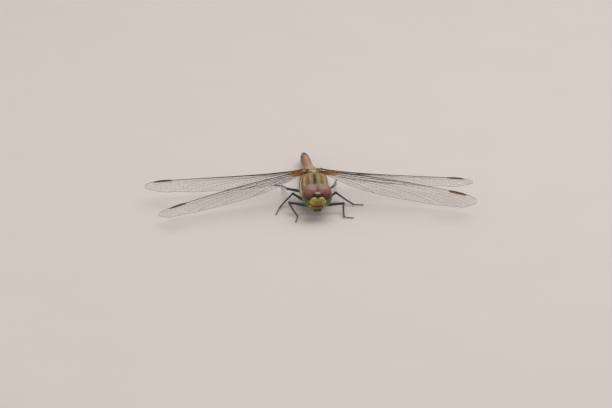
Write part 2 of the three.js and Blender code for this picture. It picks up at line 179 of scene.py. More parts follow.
class DragonflyBody(bpy.types.PropertyGroup):
    """Sizes of the body's finer forms."""

    skin_grain: size("Skin Grain", "Edge of the cells that body skins are blended in", 0.055)
    seam_depth: size("Seam Depth", "Depth of the seams between the thorax's plates", 0.07)
    ring_step: size("Ring Step", "How far each abdomen ring stands over the next", 0.04)
    ocellus: size("Ocellus Radius", "Radius of the simple eyes on the crown", 0.13)
    claw: size("Claw Length", "Length of each of a foot's two claws", 0.34)


class DragonflyWings(bpy.types.PropertyGroup):
    """Sizes of the wings' film and veins."""

    film: size("Film Thickness", "Thickness of the clear film", 0.02)
    costa: size("Front Vein", "Radius of the vein along the front margin", 0.08)
    main_vein: size("Main Veins", "Radius of the main veins at their roots", 0.042)
    cross_vein: size("Cross Veins", "Radius of the small veins between cells", 0.011)
    corrugation: size("Corrugation", "How far the main veins stand above and below the film", 0.13)
    seed: count("Seed", "Changes how the cells are scattered", 7)


class DragonflyCoat(bpy.types.PropertyGroup):
    """Length and number of hairs, bristles and spines."""

    pile: size("Thorax Hair", "Length of the fine hair on the thorax", 0.5)
    pile_count: count("Thorax Hairs", "Number of hairs on the thorax", 3600)
    bristle: size("Face Bristles", "Length of the bristles on the face", 0.3)
    spine: size("Leg Spines", "Length of the spines along the legs", 0.5)
    down: size("Abdomen Hair", "Length of the short hair on the abdomen", 0.2)


class DragonflyColours(bpy.types.PropertyGroup):
    """Colours of the body and wings."""

    eye_top: colour("Eye Top", "Upper half of the compound eyes", "8f6153")
    eye_band: colour("Eye Band", "Low band of the eyes' upper half", "7d230c")
    eye_low: colour("Eye Below", "Lower half of the compound eyes", "495624")
    face: colour("Face", "Forehead and upper lip", "b8972c")
    face_pale: colour("Face Crown", "Upper corners of the forehead", "c5c498")
    mouth: colour("Mouth", "Lips and lower face", "7d5c22")
    dark: colour("Dark Plates", "Head capsule, bands and seams", "16100c")
    olive: colour("Thorax Front", "Front plates of the thorax", "8a7345")
    cream: colour("Thorax Sides", "Pale panels of the thorax", "f6deb2")
    orange: colour("Abdomen", "Upper side of the abdomen", "a8683a")
    tail: colour("Tail End", "Last segments of the abdomen", "4b3b30")
    amber: colour("Wing Root", "Tinted cells at the root of each wing", "ffc031")
    vein: colour("Veins", "Veins of the wings", "2a1f18")
    film: colour("Film", "Clear film of the wings", "c9c9c4")
    stigma: colour("Wing Cell", "Thickened cell near each wing's tip", "866236")
    leg: colour("Legs", "Legs, spines and claws", "0b0d0d")
    hair: colour("Hair", "Fine hair on the body", "dccfae")


class DragonflyStage(bpy.types.PropertyGroup):
    """The floor, the light and the camera."""

    floor: colour("Floor", "Plain pale floor", "ddd2cd")
    key: number("Key Light", "Power of the main soft light", 1.15, min=0, unit="POWER")
    fill: number("Fill Light", "Power of the soft light opposite", 0.4, min=0, unit="POWER")
    sky: number("Sky", "Strength of the light from all round", 0.5, min=0)
    pitch: number("Camera Pitch", "How far it looks down", math.radians(21), subtype="ANGLE")
    turn: number("Camera Turn", "How far it turns right of +Y", math.radians(5.5),
                 subtype="ANGLE")
    distance: size("Camera Distance", "From the camera to the middle of the head", 478.4)
    lens: number("Lens", "Focal length in millimetres", 152.9, min=1)


GROUPS = {
    "dragonfly_body": DragonflyBody,
    "dragonfly_wings": DragonflyWings,
    "dragonfly_coat": DragonflyCoat,
    "dragonfly_colours": DragonflyColours,
    "dragonfly_stage": DragonflyStage,
}

# ---- numbers and curves


def unit(vectors):
    vectors = np.asarray(vectors, float)
    return vectors / np.maximum(np.linalg.norm(vectors, axis=-1, keepdims=True), 1e-9)


def smooth(value, low, high):
    t = np.clip((np.asarray(value, float) - low) / (high - low), 0, 1)
    return t * t * (3 - 2 * t)


def bump(value, middle, width):
    return np.exp(-((np.asarray(value, float) - middle) / width) ** 2)


def through(positions, values):
    """A smooth curve through a few stations, held level past its ends."""
    x, y = np.asarray(positions, float), np.asarray(values, float)
    slopes = np.gradient(y, x, axis=0)

    def at(t):
        t = np.clip(np.asarray(t, float), x[0], x[-1])
        i = np.clip(np.searchsorted(x, t, side="right") - 1, 0, len(x) - 2)
        step = x[i + 1] - x[i]
        s = (t - x[i]) / step
        if y.ndim > 1:
            s, step = s[..., None], step[..., None]
        return ((1 + 2 * s) * (1 - s) ** 2 * y[i] + s * (1 - s) ** 2 * step * slopes[i]
                + s * s * (3 - 2 * s) * y[i + 1] + s * s * (s - 1) * step * slopes[i + 1])

    return at


thorax_half_width, thorax_top, thorax_bottom = (
    through(THORAX_STATIONS, sizes) for sizes in (THORAX_HALF_WIDTH, THORAX_TOP, THORAX_BOTTOM))
abdomen_half_width, abdomen_half_height = (
    through(ABDOMEN_STATIONS, sizes) for sizes in (ABDOMEN_HALF_WIDTH, ABDOMEN_HALF_HEIGHT))


def at_least(value, limit, sharpness):
    """The value, held above the limit with a soft bend."""
    return limit + np.logaddexp(0, (value - limit) * sharpness) / sharpness


def around(steps):
    """Angles once round a circle."""
    return np.linspace(0, 2 * math.pi, steps, endpoint=False)


def across_and_up(along, upright=(0, 0, 1)):
    """The two directions square to a path."""
    across = unit(np.cross(along, upright))
    return across, np.cross(across, along)


def head_place():
    """The floor point under the middle of the head, in the frame, in metres."""
    right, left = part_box("eye_right"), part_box("eye_left")
    return np.array([(right[0].x + left[1].x) / 2, left[1].y - EYE_BACK * MM, 0])


HEAD_PLACE = head_place()

# ---- meshes


def loft(rings):
    """A closed skin through equal rings of points, with a fan at each end."""
    rings = np.asarray(rings, float)
    count, sides = rings.shape[:2]
    points = np.concatenate([rings.reshape(-1, 3), rings[:1].mean(1), rings[-1:].mean(1)])
    first, last = count * sides, count * sides + 1
    faces = []
    for r in range(count - 1):
        for k in range(sides):
            a, b = r * sides + k, r * sides + (k + 1) % sides
            faces.append((a, b, b + sides, a + sides))
    for k in range(sides):
        after = (k + 1) % sides
        faces.append((first, after, k))
        faces.append((last, (count - 1) * sides + k, (count - 1) * sides + after))
    return points, faces


def ellipsoid(at, radii, tilt=0, squareness=2, rows=24, columns=36):
    """A rounded form, as rings round its long axis front to back, tilted about X in degrees."""
    polar = np.linspace(0.02, math.pi - 0.02, rows)[:, None]
    turn = around(columns)
    ball = np.stack([np.sin(polar) * np.cos(turn), -np.cos(polar) * np.ones(columns),
                     np.sin(polar) * np.sin(turn)], -1)
    ball /= (np.abs(ball) ** squareness).sum(-1, keepdims=True) ** (1 / squareness)
    points, faces = loft(ball * radii)
    angle = math.radians(tilt)
    x, y, z = points.T
    turned = (x, y * math.cos(angle) - z * math.sin(angle),
              y * math.sin(angle) + z * math.cos(angle))
    return np.stack(turned, -1) + at, faces


def forms(*rows):
    """Ellipsoids from what each one takes; one off the middle is there on both sides."""
    shapes = []
    for (aside, behind, height), *rest in rows:
        for side in (RIGHT, LEFT) if aside else (LEFT,):
            shapes.append(ellipsoid((side * aside, behind, height), *rest))
    return shapes


def tube(path, radii, sides=12, flat=1.0):
    """A round tube along a path, with rounded ends; flat narrows it from top to bottom."""
    path, radii = np.asarray(path, float), np.asarray(radii, float)
    across, up = across_and_up(unit(np.gradient(path, axis=0)), (0.03, 0.02, 1))
    turn = around(sides)[None, :, None]
    circle = np.cos(turn) * across[:, None] + flat * np.sin(turn) * up[:, None]
    return loft(path[:, None] + circle * radii[:, None, None])


def rod(start, end, radius_at, steps=24, sides=12, bend=(0, 0, 0)):
    """A limb between two points whose ends close in a dome; bend bows its middle aside."""
    start, end = np.asarray(start, float), np.asarray(end, float)
    length = np.linalg.norm(end - start)
    caps = 1 - np.cos(np.linspace(0.15, math.pi / 2, 5))
    places = np.concatenate([caps[::-1] * -radius_at(0) / length, np.linspace(0, 1, steps),
                             1 + caps * radius_at(1) / length])
    inside = np.clip(places, 0, 1)
    dome = np.sqrt(np.clip(1 - caps ** 2, 0, 1))
    radii = radius_at(inside) * np.concatenate([dome[::-1], np.ones(steps), dome])
    bow = np.sin(math.pi * inside)[:, None] * np.asarray(bend)
    return tube(start + places[:, None] * (end - start) + bow, radii, sides)


def joined(parts):
    """Several shapes as one list of points and one of faces."""
    points, faces, start = [], [], 0
    for part_points, part_faces in parts:
        points.append(part_points)
        faces += [tuple(start + i for i in face) for face in part_faces]
        start += len(part_points)
    return np.concatenate(points), faces


def new_mesh(name, points, faces, edges=()):
    mesh = bpy.data.meshes.new(name)
    mesh.from_pydata(np.asarray(points, float).tolist(), list(edges), faces)
    mesh.validate()
    return mesh


def outward(mesh, merge=0.0):
    """Turns every closed shell of the mesh to face outwards."""
    shape = bmesh.new()
    shape.from_mesh(mesh)
    if merge:
        bmesh.ops.remove_doubles(shape, verts=shape.verts, dist=merge)
    bmesh.ops.recalc_face_normals(shape, faces=shape.faces)
    shape.to_mesh(mesh)
    shape.free()


def read(items, field, width=3, kind=float):
    """One property of every item, as rows of numbers."""
    values = np.empty(len(items) * width, kind)
    items.foreach_get(field, values)
    return values.reshape(-1, width) if width > 1 else values


def placed(name, data):
    """A new object in the scene."""
    obj = bpy.data.objects.new(name, data)
    bpy.context.scene.collection.objects.link(obj)
    return obj


def evaluated_mesh(obj):
    """The object's mesh with its modifiers worked in, and the modifiers gone."""
    graph = bpy.context.evaluated_depsgraph_get()
    mesh = bpy.data.meshes.new_from_object(obj.evaluated_get(graph))
    obj.modifiers.clear()
    return mesh


def blended(parts, grain, rounds):
    """One skin round overlapping forms: its points, faces and normals in millimetres."""
    obj = placed("forms", new_mesh("forms", *joined(parts)))
    outward(obj.data)
    remesh = obj.modifiers.new("skin", "REMESH")
    remesh.mode = "VOXEL"
    remesh.voxel_size = grain
    soften = obj.modifiers.new("soften", "SMOOTH")
    soften.factor = 0.5
    soften.iterations = rounds
    mesh = evaluated_mesh(obj)
    bpy.data.objects.remove(obj)
    skin = (read(mesh.vertices, "co"), [tuple(face.vertices) for face in mesh.polygons],
            read(mesh.vertex_normals, "vector"))
    bpy.data.meshes.remove(mesh)
    return skin


def set_mask(mesh, name, values, kind="FLOAT"):
    mask = mesh.attributes.new(name, kind, "POINT")
    field = "value" if kind == "FLOAT" else "vector"
    mask.data.foreach_set(field, np.asarray(values, np.float32).ravel())


def new_piece(name, shape, material, slot, nodes=(), masks=None, merge=0.0):
    """A finished piece: moved from body millimetres into the frame, and tied to the body."""
    mesh = new_mesh(name, np.asarray(shape[0]) * MM + HEAD_PLACE, shape[1])
    for mask, values in (masks or {}).items():
        set_mask(mesh, mask, values)
    outward(mesh, merge)
    mesh.shade_smooth()
    mesh.materials.append(material)
    return tie(placed(name, mesh), slot, nodes)


def tie(obj, slot, nodes=()):
    """The piece rides on the body and stands for its solids; its slot is not used."""
    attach(obj, "root")
    if nodes:
        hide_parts(*nodes)
    return obj


def grown(name, mesh, tree, slot, **values):
    """A piece that a geometry tree makes; its inputs are set by the sockets' identifiers."""
    obj = placed(name, mesh)
    modifier = obj.modifiers.new(tree.name, "NODES")
    modifier.node_group = tree
    for item in tree.interface.items_tree:
        if item.in_out == "INPUT" and item.name in values:
            modifier[item.identifier] = values[item.name]
    obj.data = evaluated_mesh(obj)
    bpy.data.meshes.remove(mesh)
    obj.data.name = name
    if not obj.data.vertices:
        raise RuntimeError(f"nothing grew for {name}")
    outward(obj.data)
    return tie(obj, slot)


# ---- node building


def rgb(value):
    return linear(value) if isinstance(value, str) else value


def darker(value, factor):
    return [part * factor for part in rgb(value)]


def add(tree, kind, values=None, **settings):
    """A node with its own settings; values go to its inputs, and sockets are linked."""
    node = tree.nodes.new(kind)
    for key, value in settings.items():
        setattr(node, key, value)
    for key, value in (values or {}).items():
        socket = node.inputs[key]
        if isinstance(value, bpy.types.NodeSocket):
            tree.links.new(value, socket)
        else:
            socket.default_value = (*rgb(value), 1) if socket.type == "RGBA" else value
    return node


def maths(tree, operation, *values):
    return add(tree, "ShaderNodeMath", dict(enumerate(values)), operation=operation).outputs[0]


def vector_maths(tree, operation, *values):
    return add(tree, "ShaderNodeVectorMath", dict(enumerate(values)),
               operation=operation).outputs["Value" if operation == "LENGTH" else "Vector"]


def mix(tree, mask, first, second):
    return add(tree, "ShaderNodeMix", {0: mask, 6: first, 7: second}, data_type="RGBA").outputs[2]


def noise(tree, scale, place=None, **values):
    place = place or add(tree, "ShaderNodeTexCoord").outputs["Object"]
    return add(tree, "ShaderNodeTexNoise", {"Vector": place, "Scale": scale, **values}).outputs[0]


def sockets(tree, direction, rows):
    """Adds named sockets to a tree's own inputs or outputs."""
    for name, kind, *default in rows:
        socket = tree.interface.new_socket(name, in_out=direction, socket_type="NodeSocket" + kind)
        if default:
            socket.default_value = default[0]


def new_group(name, inputs, outputs):
    """An empty shader group with named sockets, and its input and output nodes."""
    tree = bpy.data.node_groups.new(name, "ShaderNodeTree")
    sockets(tree, "INPUT", inputs)
    sockets(tree, "OUTPUT", outputs)
    return tree, add(tree, "NodeGroupInput").outputs, add(tree, "NodeGroupOutput").inputs


def mottle_group():
    """Fine uneven colour, and a height for bumps, from noise at two scales."""
    tree, given, result = new_group(
        "mottle",
        [("Color", "Color", (0.5, 0.5, 0.5, 1)), ("Second", "Color", (0.2, 0.2, 0.2, 1)),
         ("Amount", "Float", 0.4), ("Scale", "Float", 2000.0)],
        [("Color", "Color"), ("Height", "Float")])
    coarse = noise(tree, given["Scale"], Detail=4.0, Roughness=0.6)
    fine = noise(tree, maths(tree, "MULTIPLY", given["Scale"], 6.0), Detail=2.0)
    spots = add(tree, "ShaderNodeMapRange", {"Value": coarse, "From Min": 0.35, "From Max": 0.7})
    amount = maths(tree, "MULTIPLY", spots.outputs[0], given["Amount"])
    tree.links.new(mix(tree, amount, given["Color"], given["Second"]), result["Color"])
    tree.links.new(maths(tree, "MULTIPLY_ADD", fine, 0.5, coarse), result["Height"])
    return tree


def zone_group():
    """A mask that rises from 0 to 1 between two values, along an uneven edge."""
    tree, given, result = new_group(
        "zone",
        [("Value", "Float", 0.0), ("From", "Float", 0.0), ("To", "Float", 1.0),
         ("Wobble", "Float", 0.0), ("Scale", "Float", 3000.0)],
        [("Mask", "Float")])
    centred = maths(tree, "SUBTRACT", noise(tree, given["Scale"]), 0.5)
    edge = add(tree, "ShaderNodeMapRange", {
        "Value": maths(tree, "MULTIPLY_ADD", centred, given["Wobble"], given["Value"]),
        "From Min": given["From"], "From Max": given["To"],
    }, interpolation_type="SMOOTHSTEP")
    tree.links.new(edge.outputs[0], result["Mask"])
    return tree


SHARED = {"mottle": mottle_group, "zone": zone_group}


class Finish:
    """A material in the making: colours painted over a base, and a Principled shader.

    A mask is a strength, the name of a mask of the mesh, a socket, or a zone. A zone is a value,
    where it starts and where it is full, then how far its edge wobbles and the noise it follows.
    Its value is a socket, a mask's name, or across, behind, height or aside in millimetres.
    """

    def __init__(self, name, base, roughness=0.45, specular=0.5, **constants):
        self.material = bpy.data.materials.new(name)
        self.material.use_nodes = True
        self.tree = self.material.node_tree
        self.tree.nodes.clear()
        self.shader = self.add("BsdfPrincipled", {
            "Roughness": roughness, "Specular IOR Level": specular,
            **{key.replace("_", " "): value for key, value in constants.items()}})
        self.add("OutputMaterial", {"Surface": self.shader.outputs[0]})
        self.place = self.add("TexCoord").outputs["Object"]
        body = vector_maths(self.tree, "MULTIPLY_ADD", self.place, (1 / MM,) * 3,
                            -HEAD_PLACE / MM)
        self.axes = dict(zip(("across", "behind", "height"),
                             self.add("SeparateXYZ", {0: body}).outputs))
        self.axes["aside"] = self.maths("ABSOLUTE", self.axes["across"])
        self.base = base

    def add(self, kind, values=None, **settings):
        return add(self.tree, "ShaderNode" + kind, values, **settings)

    def maths(self, operation, *values):
        return maths(self.tree, operation, *values)

    def noise(self, scale, **values):
        return noise(self.tree, scale, self.place, **values)

    def group(self, name, values):
        tree = bpy.data.node_groups.get(name) or SHARED[name]()
        return self.add("Group", values, node_tree=tree).outputs

    def value(self, name):
        """An axis of the body or a mask of the mesh by its name; sockets pass."""
        if not isinstance(name, str):
            return name
        return self.axes.get(name) or self.add("Attribute", attribute_name=name).outputs["Fac"]

    def zone(self, value, start, end, wobble=0.0, scale=3000.0):
        return self.group("zone", {"Value": self.value(value), "From": start, "To": end,
                                   "Wobble": wobble, "Scale": scale})["Mask"]

    def mask(self, *masks):
        """All the masks times each other."""
        whole = None
        for mask in masks:
            mask = self.zone(*mask) if isinstance(mask, tuple) else self.value(mask)
            whole = mask if whole is None else self.maths("MULTIPLY", whole, mask)
        return whole

    def over(self, base, top, *masks):
        return mix(self.tree, self.mask(*masks), base, top)

    def paint(self, top, *masks):
        self.base = self.over(self.base, top, *masks)

    def finish(self, second, amount=0.4, scale=2000.0, depth=0.01, height=None):
        """Mottles the colour, adds a bump as deep as given in millimetres, and ends."""
        mottle = self.group("mottle", {"Color": self.base, "Second": second, "Amount": amount,
                                       "Scale": scale})
        relief = self.add("Bump", {"Strength": 0.6, "Distance": depth * MM,
                                   "Height": height or mottle["Height"]})
        self.tree.links.new(mottle["Color"], self.shader.inputs["Base Color"])
        self.tree.links.new(relief.outputs[0], self.shader.inputs["Normal"])
        return self.material


# ---- head

SEAM_SHARPNESS, BACK_SHARPNESS = 34, 12
EYE_ROWS, EYE_COLUMNS = 72, 120
# the dark spot in front of each eye: how far aside and how high it is, and its radii
SPOT_AT, SPOT_RADII = (1.78, 4.56), (0.4, 0.28)
# rows and columns of ellipsoids that need to be rounder
FINE, FINER = (32, 40), (40, 56)
FACE_GRAIN, CROWN_GRAIN = 0.035, 0.03


def eye_shape(side):
    """A squared dome that closes softly along the seam between the eyes and at the back."""
    points, faces = ellipsoid((0, 0, 0), (1, 1, 1), 0, EYE_SQUARENESS, EYE_ROWS,
                              EYE_COLUMNS)
    across, behind, height = (points * EYE_RADII + EYE_CENTRE).T
    across = at_least(across, EYE_SEAM, SEAM_SHARPNESS)
    behind = -at_least(-behind, -EYE_BACK, BACK_SHARPNESS)
    return np.stack([side * across, behind, height], -1), faces


def eye_material(colours):
    """Red-brown above a red band, olive green below, with a painted pale sheen over the top, and
    fine facets under a wet gloss.
    """
    eye = Finish("eye_shine", colours.eye_low, 0.4, Coat_Weight=0.15, Coat_Roughness=0.3)
    stretched = vector_maths(eye.tree, "MULTIPLY", eye.place, (1.0, 1.0, 0.4))
    streaks = noise(eye.tree, 4200.0, stretched, Detail=4.0)
    eye.paint("a09444", (streaks, 0.5, 0.72), ("height", 4.6, 3.9, 0.4, 1500), 0.8)
    eye.paint("4d4f30", ("height", 3.2, 2.4))
    eye.paint("3f2f1a", ("height", 4.35, 4.75, 0.3, 1500))
    upper = eye.over(colours.eye_band, colours.eye_top, ("height", 5.15, 5.75, 0.2, 900))
    # the paler grey-mauve over the top of each eye is a painted sheen, not the eye's own colour
    upper = eye.over(upper, "9d7a6e", ("height", 5.9, 6.6, 0.3, 700))
    eye.paint(upper, ("height", 4.7, 5.1, 0.35, 1500))
    front = eye.add("CombineXYZ", {"X": eye.axes["aside"], "Y": eye.axes["height"]}).outputs[0]
    offset = vector_maths(eye.tree, "MULTIPLY_ADD", front, (*(1 / r for r in SPOT_RADII), 0),
                          (*(-at / r for at, r in zip(SPOT_AT, SPOT_RADII)), 0))
    eye.paint(colours.dark, (vector_maths(eye.tree, "LENGTH", offset), 1.25, 0.7, 0.3, 2500),
              ("behind", -0.8, -1.1))
    facets = eye.add("TexVoronoi", {"Vector": eye.place, "Scale": 17000.0, "Randomness": 0.35})
    return eye.finish("3c2a1e", 0.25, 2600, -0.008, facets.outputs["Distance"])


def horn(name, base, second, roughness=0.4, amount=0.4):
    """Plain horny plate of one colour, mottled with a second."""
    return Finish(name, base, roughness, 0.45).finish(second, amount, 2500.0, 0.012)


class BuildEyes(bpy.types.Operator):
    """Two compound eyes that meet along a seam on the crown"""

    bl_idname = "dragonfly.eyes"
    bl_label = "Eyes"

    def execute(self, context):
        material = eye_material(context.scene.dragonfly_colours)
        for name, side in SIDES.items():
            new_piece(f"eye_{name}_dome", eye_shape(side), material, "eyes", [f"eye_{name}"])
        return {"FINISHED"}


# forms, each with its place and radii, then its tilt, squareness, rows and columns
CAPSULE_FORMS = (
    ((0, 0.3, 4.0), (1.6, 1.3, 1.75)), ((0, -0.25, 3.05), (1.85, 1.25, 0.9)),
    ((0, 0.1, 4.5), (0.6, 1.64, 1.84)), ((0, -1.3, 5.04), (1.2, 0.74, 0.32), 0, 2.4),
    ((0, 1.12, 6.04), (0.52, 0.42, 0.36)), ((1.15, 1.0, 4.5), (1.25, 0.55, 1.65)),
    ((1.3, -1.3, 4.2), (0.36, 0.5, 0.6)), ((1.02, -1.36, 4.84), (0.4, 0.6, 0.28)),
)
CROWN_FORMS = (
    ((0, -1.45, 5.34), (0.64, 0.42, 0.36), -15), ((0.3, -1.42, 5.5), (0.28, 0.28, 0.18)),
)

FRONT_OCELLUS, SIDE_OCELLUS = (0, -1.9, 5.34), (0.46, -1.6, 5.45)


def capsule_material(colours):
    """Black in front, horn brown and yellow marks behind."""
    plate = Finish("head_horn", colours.dark, 0.45, 0.4)
    plate.paint("97793a", (plate.noise(900.0), 0.5, 0.56), ("behind", 0.9, 1.3))
    plate.paint("6b5427", ("height", 3.3, 2.8, 0.3, 2000))
    plate.paint(darker(colours.eye_top, 0.85), ("height", 5.5, 5.7), 0.9)
    plate.paint("8f7d5c", ("height", 5.9, 6.05), ("behind", 0.62, 0.72))
    return plate.finish(darker(colours.dark, 0.5), amount=0.3)


def crown_material(colours):
    """A dark knob whose top is pale above an arched edge."""
    crown = Finish("crown_beige", colours.dark, 0.45, 0.45)
    square = crown.maths("MULTIPLY", crown.axes["across"], crown.axes["across"])
    arch = crown.maths("MULTIPLY_ADD", square, 0.6, crown.axes["height"])
    crown.paint("b7a578", (arch, 5.44, 5.56, 0.1, 3000))
    return crown.finish("5a4528", 0.3, 3000)


ANTENNA_ROOT = (0.62, -1.68, 5.0)
ANTENNA_AIM = (0.42, -0.5, 0.76)
ANTENNA_LENGTH = 2.02
ANTENNA_BEND = (0.25, 0.1, -0.05)


def antenna_shape(side):
    """Two stout joints and a bristle that tapers to a point."""
    root, aim, bend = (np.array(place) * (side, 1, 1)
                       for place in (ANTENNA_ROOT, ANTENNA_AIM, ANTENNA_BEND))
    steps = np.linspace(0, 1, 40)
    path = root + steps[:, None] * unit(aim) * ANTENNA_LENGTH + (steps ** 2)[:, None] * bend * 0.6
    stout = 0.13 * smooth(steps, 0.36, 0.24) + 0.045
    stout -= 0.05 * bump(steps, 0.15, 0.02) + 0.04 * bump(steps, 0.3, 0.02)
    return tube(path, np.clip(stout * (1 - steps) ** 0.45, 0.008, 1), sides=10)


class BuildHead(bpy.types.Operator):
    """The head capsule, its crown with three simple eyes, and the feelers"""

    bl_idname = "dragonfly.head"
    bl_label = "Head"

    def execute(self, context):
        body, colours = context.scene.dragonfly_body, context.scene.dragonfly_colours
        capsule = blended(forms(*CAPSULE_FORMS), body.skin_grain / MM, 6)
        new_piece("head_capsule", capsule, capsule_material(colours), "head_capsule", ["head"],
                  {"hair": smooth(capsule[0][:, 1], 0.9, 1.3)})
        crown = blended(forms(*CROWN_FORMS), CROWN_GRAIN, 6)
        new_piece("head_crown", crown, crown_material(colours), "head_capsule")
        bead = Finish("simple_eye", "8a5a3c", 0.12, Coat_Weight=0.6, Coat_Roughness=0.05)
        radius = body.ocellus / MM
        beads = forms((FRONT_OCELLUS, (radius, radius, radius * 0.9)),
                      (SIDE_OCELLUS, (radius, radius, radius)))
        new_piece("head_simple_eyes", joined(beads), bead.finish("3a2012", 0.6, 3000, 0.001),
                  "eyes")
        dark = horn("feeler_black", colours.dark, "3a2a1a", roughness=0.35)
        for name, side in SIDES.items():
            new_piece(f"antenna_{name}_bristle", antenna_shape(side), dark, "antennae",
                      [f"antenna_{name}"])
        return {"FINISHED"}


# each plate of the face: its solid, its slot, how often it is smoothed, and its forms
FACE_PLATES = {
    "forehead": ("frons", "face", 5, (
        ((0, -1.36, 3.9), (1.62, 1.04, 0.9), 0, 2.2, *FINER),
        ((0.64, -1.45, 4.48), (0.7, 0.86, 0.52), 0, 2, *FINE))),
    "upper_lip": ("clypeus", "face", 5, (
        ((0, -1.14, 3.56), (1.58, 1.12, 0.48), 0, 2.4, *FINER),
        ((1.2, -1.0, 3.46), (0.46, 0.8, 0.4)),
        ((0, -1.08, 3.26), (0.86, 0.98, 0.3), 0, 2.4, *FINER))),
    "lip": ("labrum", "mouthparts", 4, (
        ((0, -0.98, 2.84), (1.18, 1.08, 0.52), 12, 2.2, *FINER),
        ((1.16, -0.8, 3.1), (0.62, 0.76, 0.6), 0, 2.5))),
    "jaw_plates": ("labium", "mouthparts", 3, (
        ((0.36, -0.58, 2.32), (0.5, 1.02, 0.46), 16, 2.3, *FINE),
        ((0, -0.3, 2.2), (0.3, 0.95, 0.36), 12))),
}


def face_shape(name, rows, rounds):
    """A plate of the face; the forehead has a groove between its lobes and a fine rim."""
    points, faces, normals = blended(forms(*rows), FACE_GRAIN, rounds)
    if name == "forehead":
        groove = bump(points[:, 0], 0, 0.14) * smooth(points[:, 2], 4.1, 4.7)
        rim = bump(points[:, 2] - 0.12 * np.abs(points[:, 0]), 3.98, 0.1)
        points = points - normals * (0.1 * groove + 0.03 * rim)[:, None]
    return points, faces


def forehead_material(colours):
    """Yellow, paler on the upper corners, with an ochre shield in the middle."""
    plate = Finish("face_yellow", colours.face, 0.38)
    plate.paint(colours.face_pale, ("aside", 1.05, 1.42, 0.2, 2500), 0.6)
    plate.paint(colours.face_pale, ("height", 4.45, 4.85, 0.2, 2500), ("aside", 0.05, 0.35))
    plate.paint("8f6d1e", ("aside", 1.0, 0.45, 0.4, 1500), ("height", 4.45, 4.15, 0.2, 2000))
    plate.paint(colours.dark, ("height", 4.86, 4.98), ("aside", 0.5, 0.25))
    return plate.finish("7a5b18", 0.5, 1900, 0.015)


def lip_material(name, dark, base, sides, edge_height, low_edge):
    """A plate whose lower edge and middle are darker, and whose sides may differ."""
    plate = Finish(name, base, 0.42, 0.45)
    plate.paint(darker(base, 0.4), ("aside", 0.75, 0.15, 0.3, 1800), 0.6)
    plate.paint(dark, ("height", edge_height, low_edge, 0.12, 3000))
    plate.paint(sides, ("aside", 0.98, 1.2, 0.1, 2500))
    return plate.finish(darker(base, 0.35), 0.75, 1200, 0.015)


class BuildFace(bpy.types.Operator):
    """Forehead, lips and lower jaw plates, with bristles on their fronts"""

    bl_idname = "dragonfly.face"
    bl_label = "Face"

    def execute(self, context):
        colours = context.scene.dragonfly_colours
        dark, mouth = colours.dark, colours.mouth
        finishes = {
            "forehead": forehead_material(colours),
            "upper_lip": lip_material("upper_lip_ochre", dark, "9e6f1e", "6a511d", 3.2, 2.95),
            "lip": lip_material("lip_ochre", dark, "8f6c30", "b9a873", 2.62, 2.42),
            "jaw_plates": lip_material("jaw_olive", dark, mouth, mouth, 2.3, 1.9),
        }
        for name, (node, slot, rounds, rows) in FACE_PLATES.items():
            points, faces = face_shape(name, rows, rounds)
            new_piece(f"face_{name}", (points, faces), finishes[name], slot, [node],
                      {"hair": smooth(points[:, 1], -1.0, -1.7)})
        return {"FINISHED"}


# ---- thorax

THORAX_SIDES, THORAX_RINGS = 96, 70
SEAMS_FROM = 2.6
STRIPE_WIDTH = 0.27
KEEL_HEIGHT = 0.07


def thorax_along(points):
    """How far back a point lies on the leaning thorax."""
    return points[:, 1] - THORAX_START - THORAX_LEAN * (points[:, 2] - THORAX_LEVEL)


def strongest(*masks):
    """The highest of several masks at each point, from 0 to 1."""
    return np.clip(np.maximum.reduce(masks), 0, 1)


def thorax_loft():
    turn = around(THORAX_SIDES)
    rise = np.sin(turn)
    across = np.sign(np.cos(turn)) * np.abs(np.cos(turn)) ** np.where(rise > 0, 0.43, 0.66)
    rings = []
    for along in np.linspace(0, THORAX_STATIONS[-1], THORAX_RINGS):
        top, bottom = thorax_top(along), thorax_bottom(along)
        x = thorax_half_width(along) * across * (1 - 0.03 * np.maximum(rise, 0))
        z = (top + bottom) / 2 + (top - bottom) / 2 * rise
        y = THORAX_START + along + THORAX_LEAN * (z - THORAX_LEVEL)
        rings.append(np.stack([x, y, z], -1))
    return loft(rings)


def thorax_seams(points):
    """How strongly a seam between plates shows at each point, from 0 to 1."""
    along, aside, height = thorax_along(points), np.abs(points[:, 0]), points[:, 2]
    flank, lean = smooth(aside, 0.9, 1.4), height - SEAMS_FROM
    return strongest(
        bump(along, 1.05 + 0.24 * lean, 0.09) * flank * smooth(height, 2.2, 2.6),
        bump(along, 2.75 + 0.16 * lean, 0.07) * flank * smooth(height, 5.4, 4.9),
        bump(along, 4.05 + 0.1 * lean, 0.09) * flank * smooth(height, 2.0, 2.4),
        bump(along, 5.5, 0.08) * flank * smooth(height, 2.4, 2.8),
        bump(along, 2.3 + 0.12 * aside, 0.14) * smooth(aside, 0.42, 0.6)
        * smooth(height, 6.2, 6.5) * smooth(aside, 1.9, 1.6),
        bump(along, 3.75, 0.14) * smooth(height, 6.3, 6.6) * smooth(aside, 0.5, 0.65)
        * smooth(aside, 1.4, 1.2),
        bump(height, 2.35, 0.09) * flank * smooth(along, 0.4, 0.8) * smooth(along, 6.4, 6.0))


# the hinge plates of the wings on one side: where each one is and its radii
HINGES = (
    ((1.32, 6.12, 6.76), (0.56, 0.36, 0.4)), ((1.42, 6.85, 6.42), (0.66, 0.46, 0.36)),
    ((0.98, 7.3, 6.5), (0.34, 0.4, 0.3)), ((1.0, 8.12, 6.42), (0.44, 0.34, 0.38)),
    ((1.36, 8.75, 6.2), (0.66, 0.42, 0.34)), ((1.34, 9.5, 5.9), (0.62, 0.5, 0.34)),
)
# which of them have a dark front, and how far up it reaches
DARK_FRONTS = ((0, 0.7), (3, 1.0))
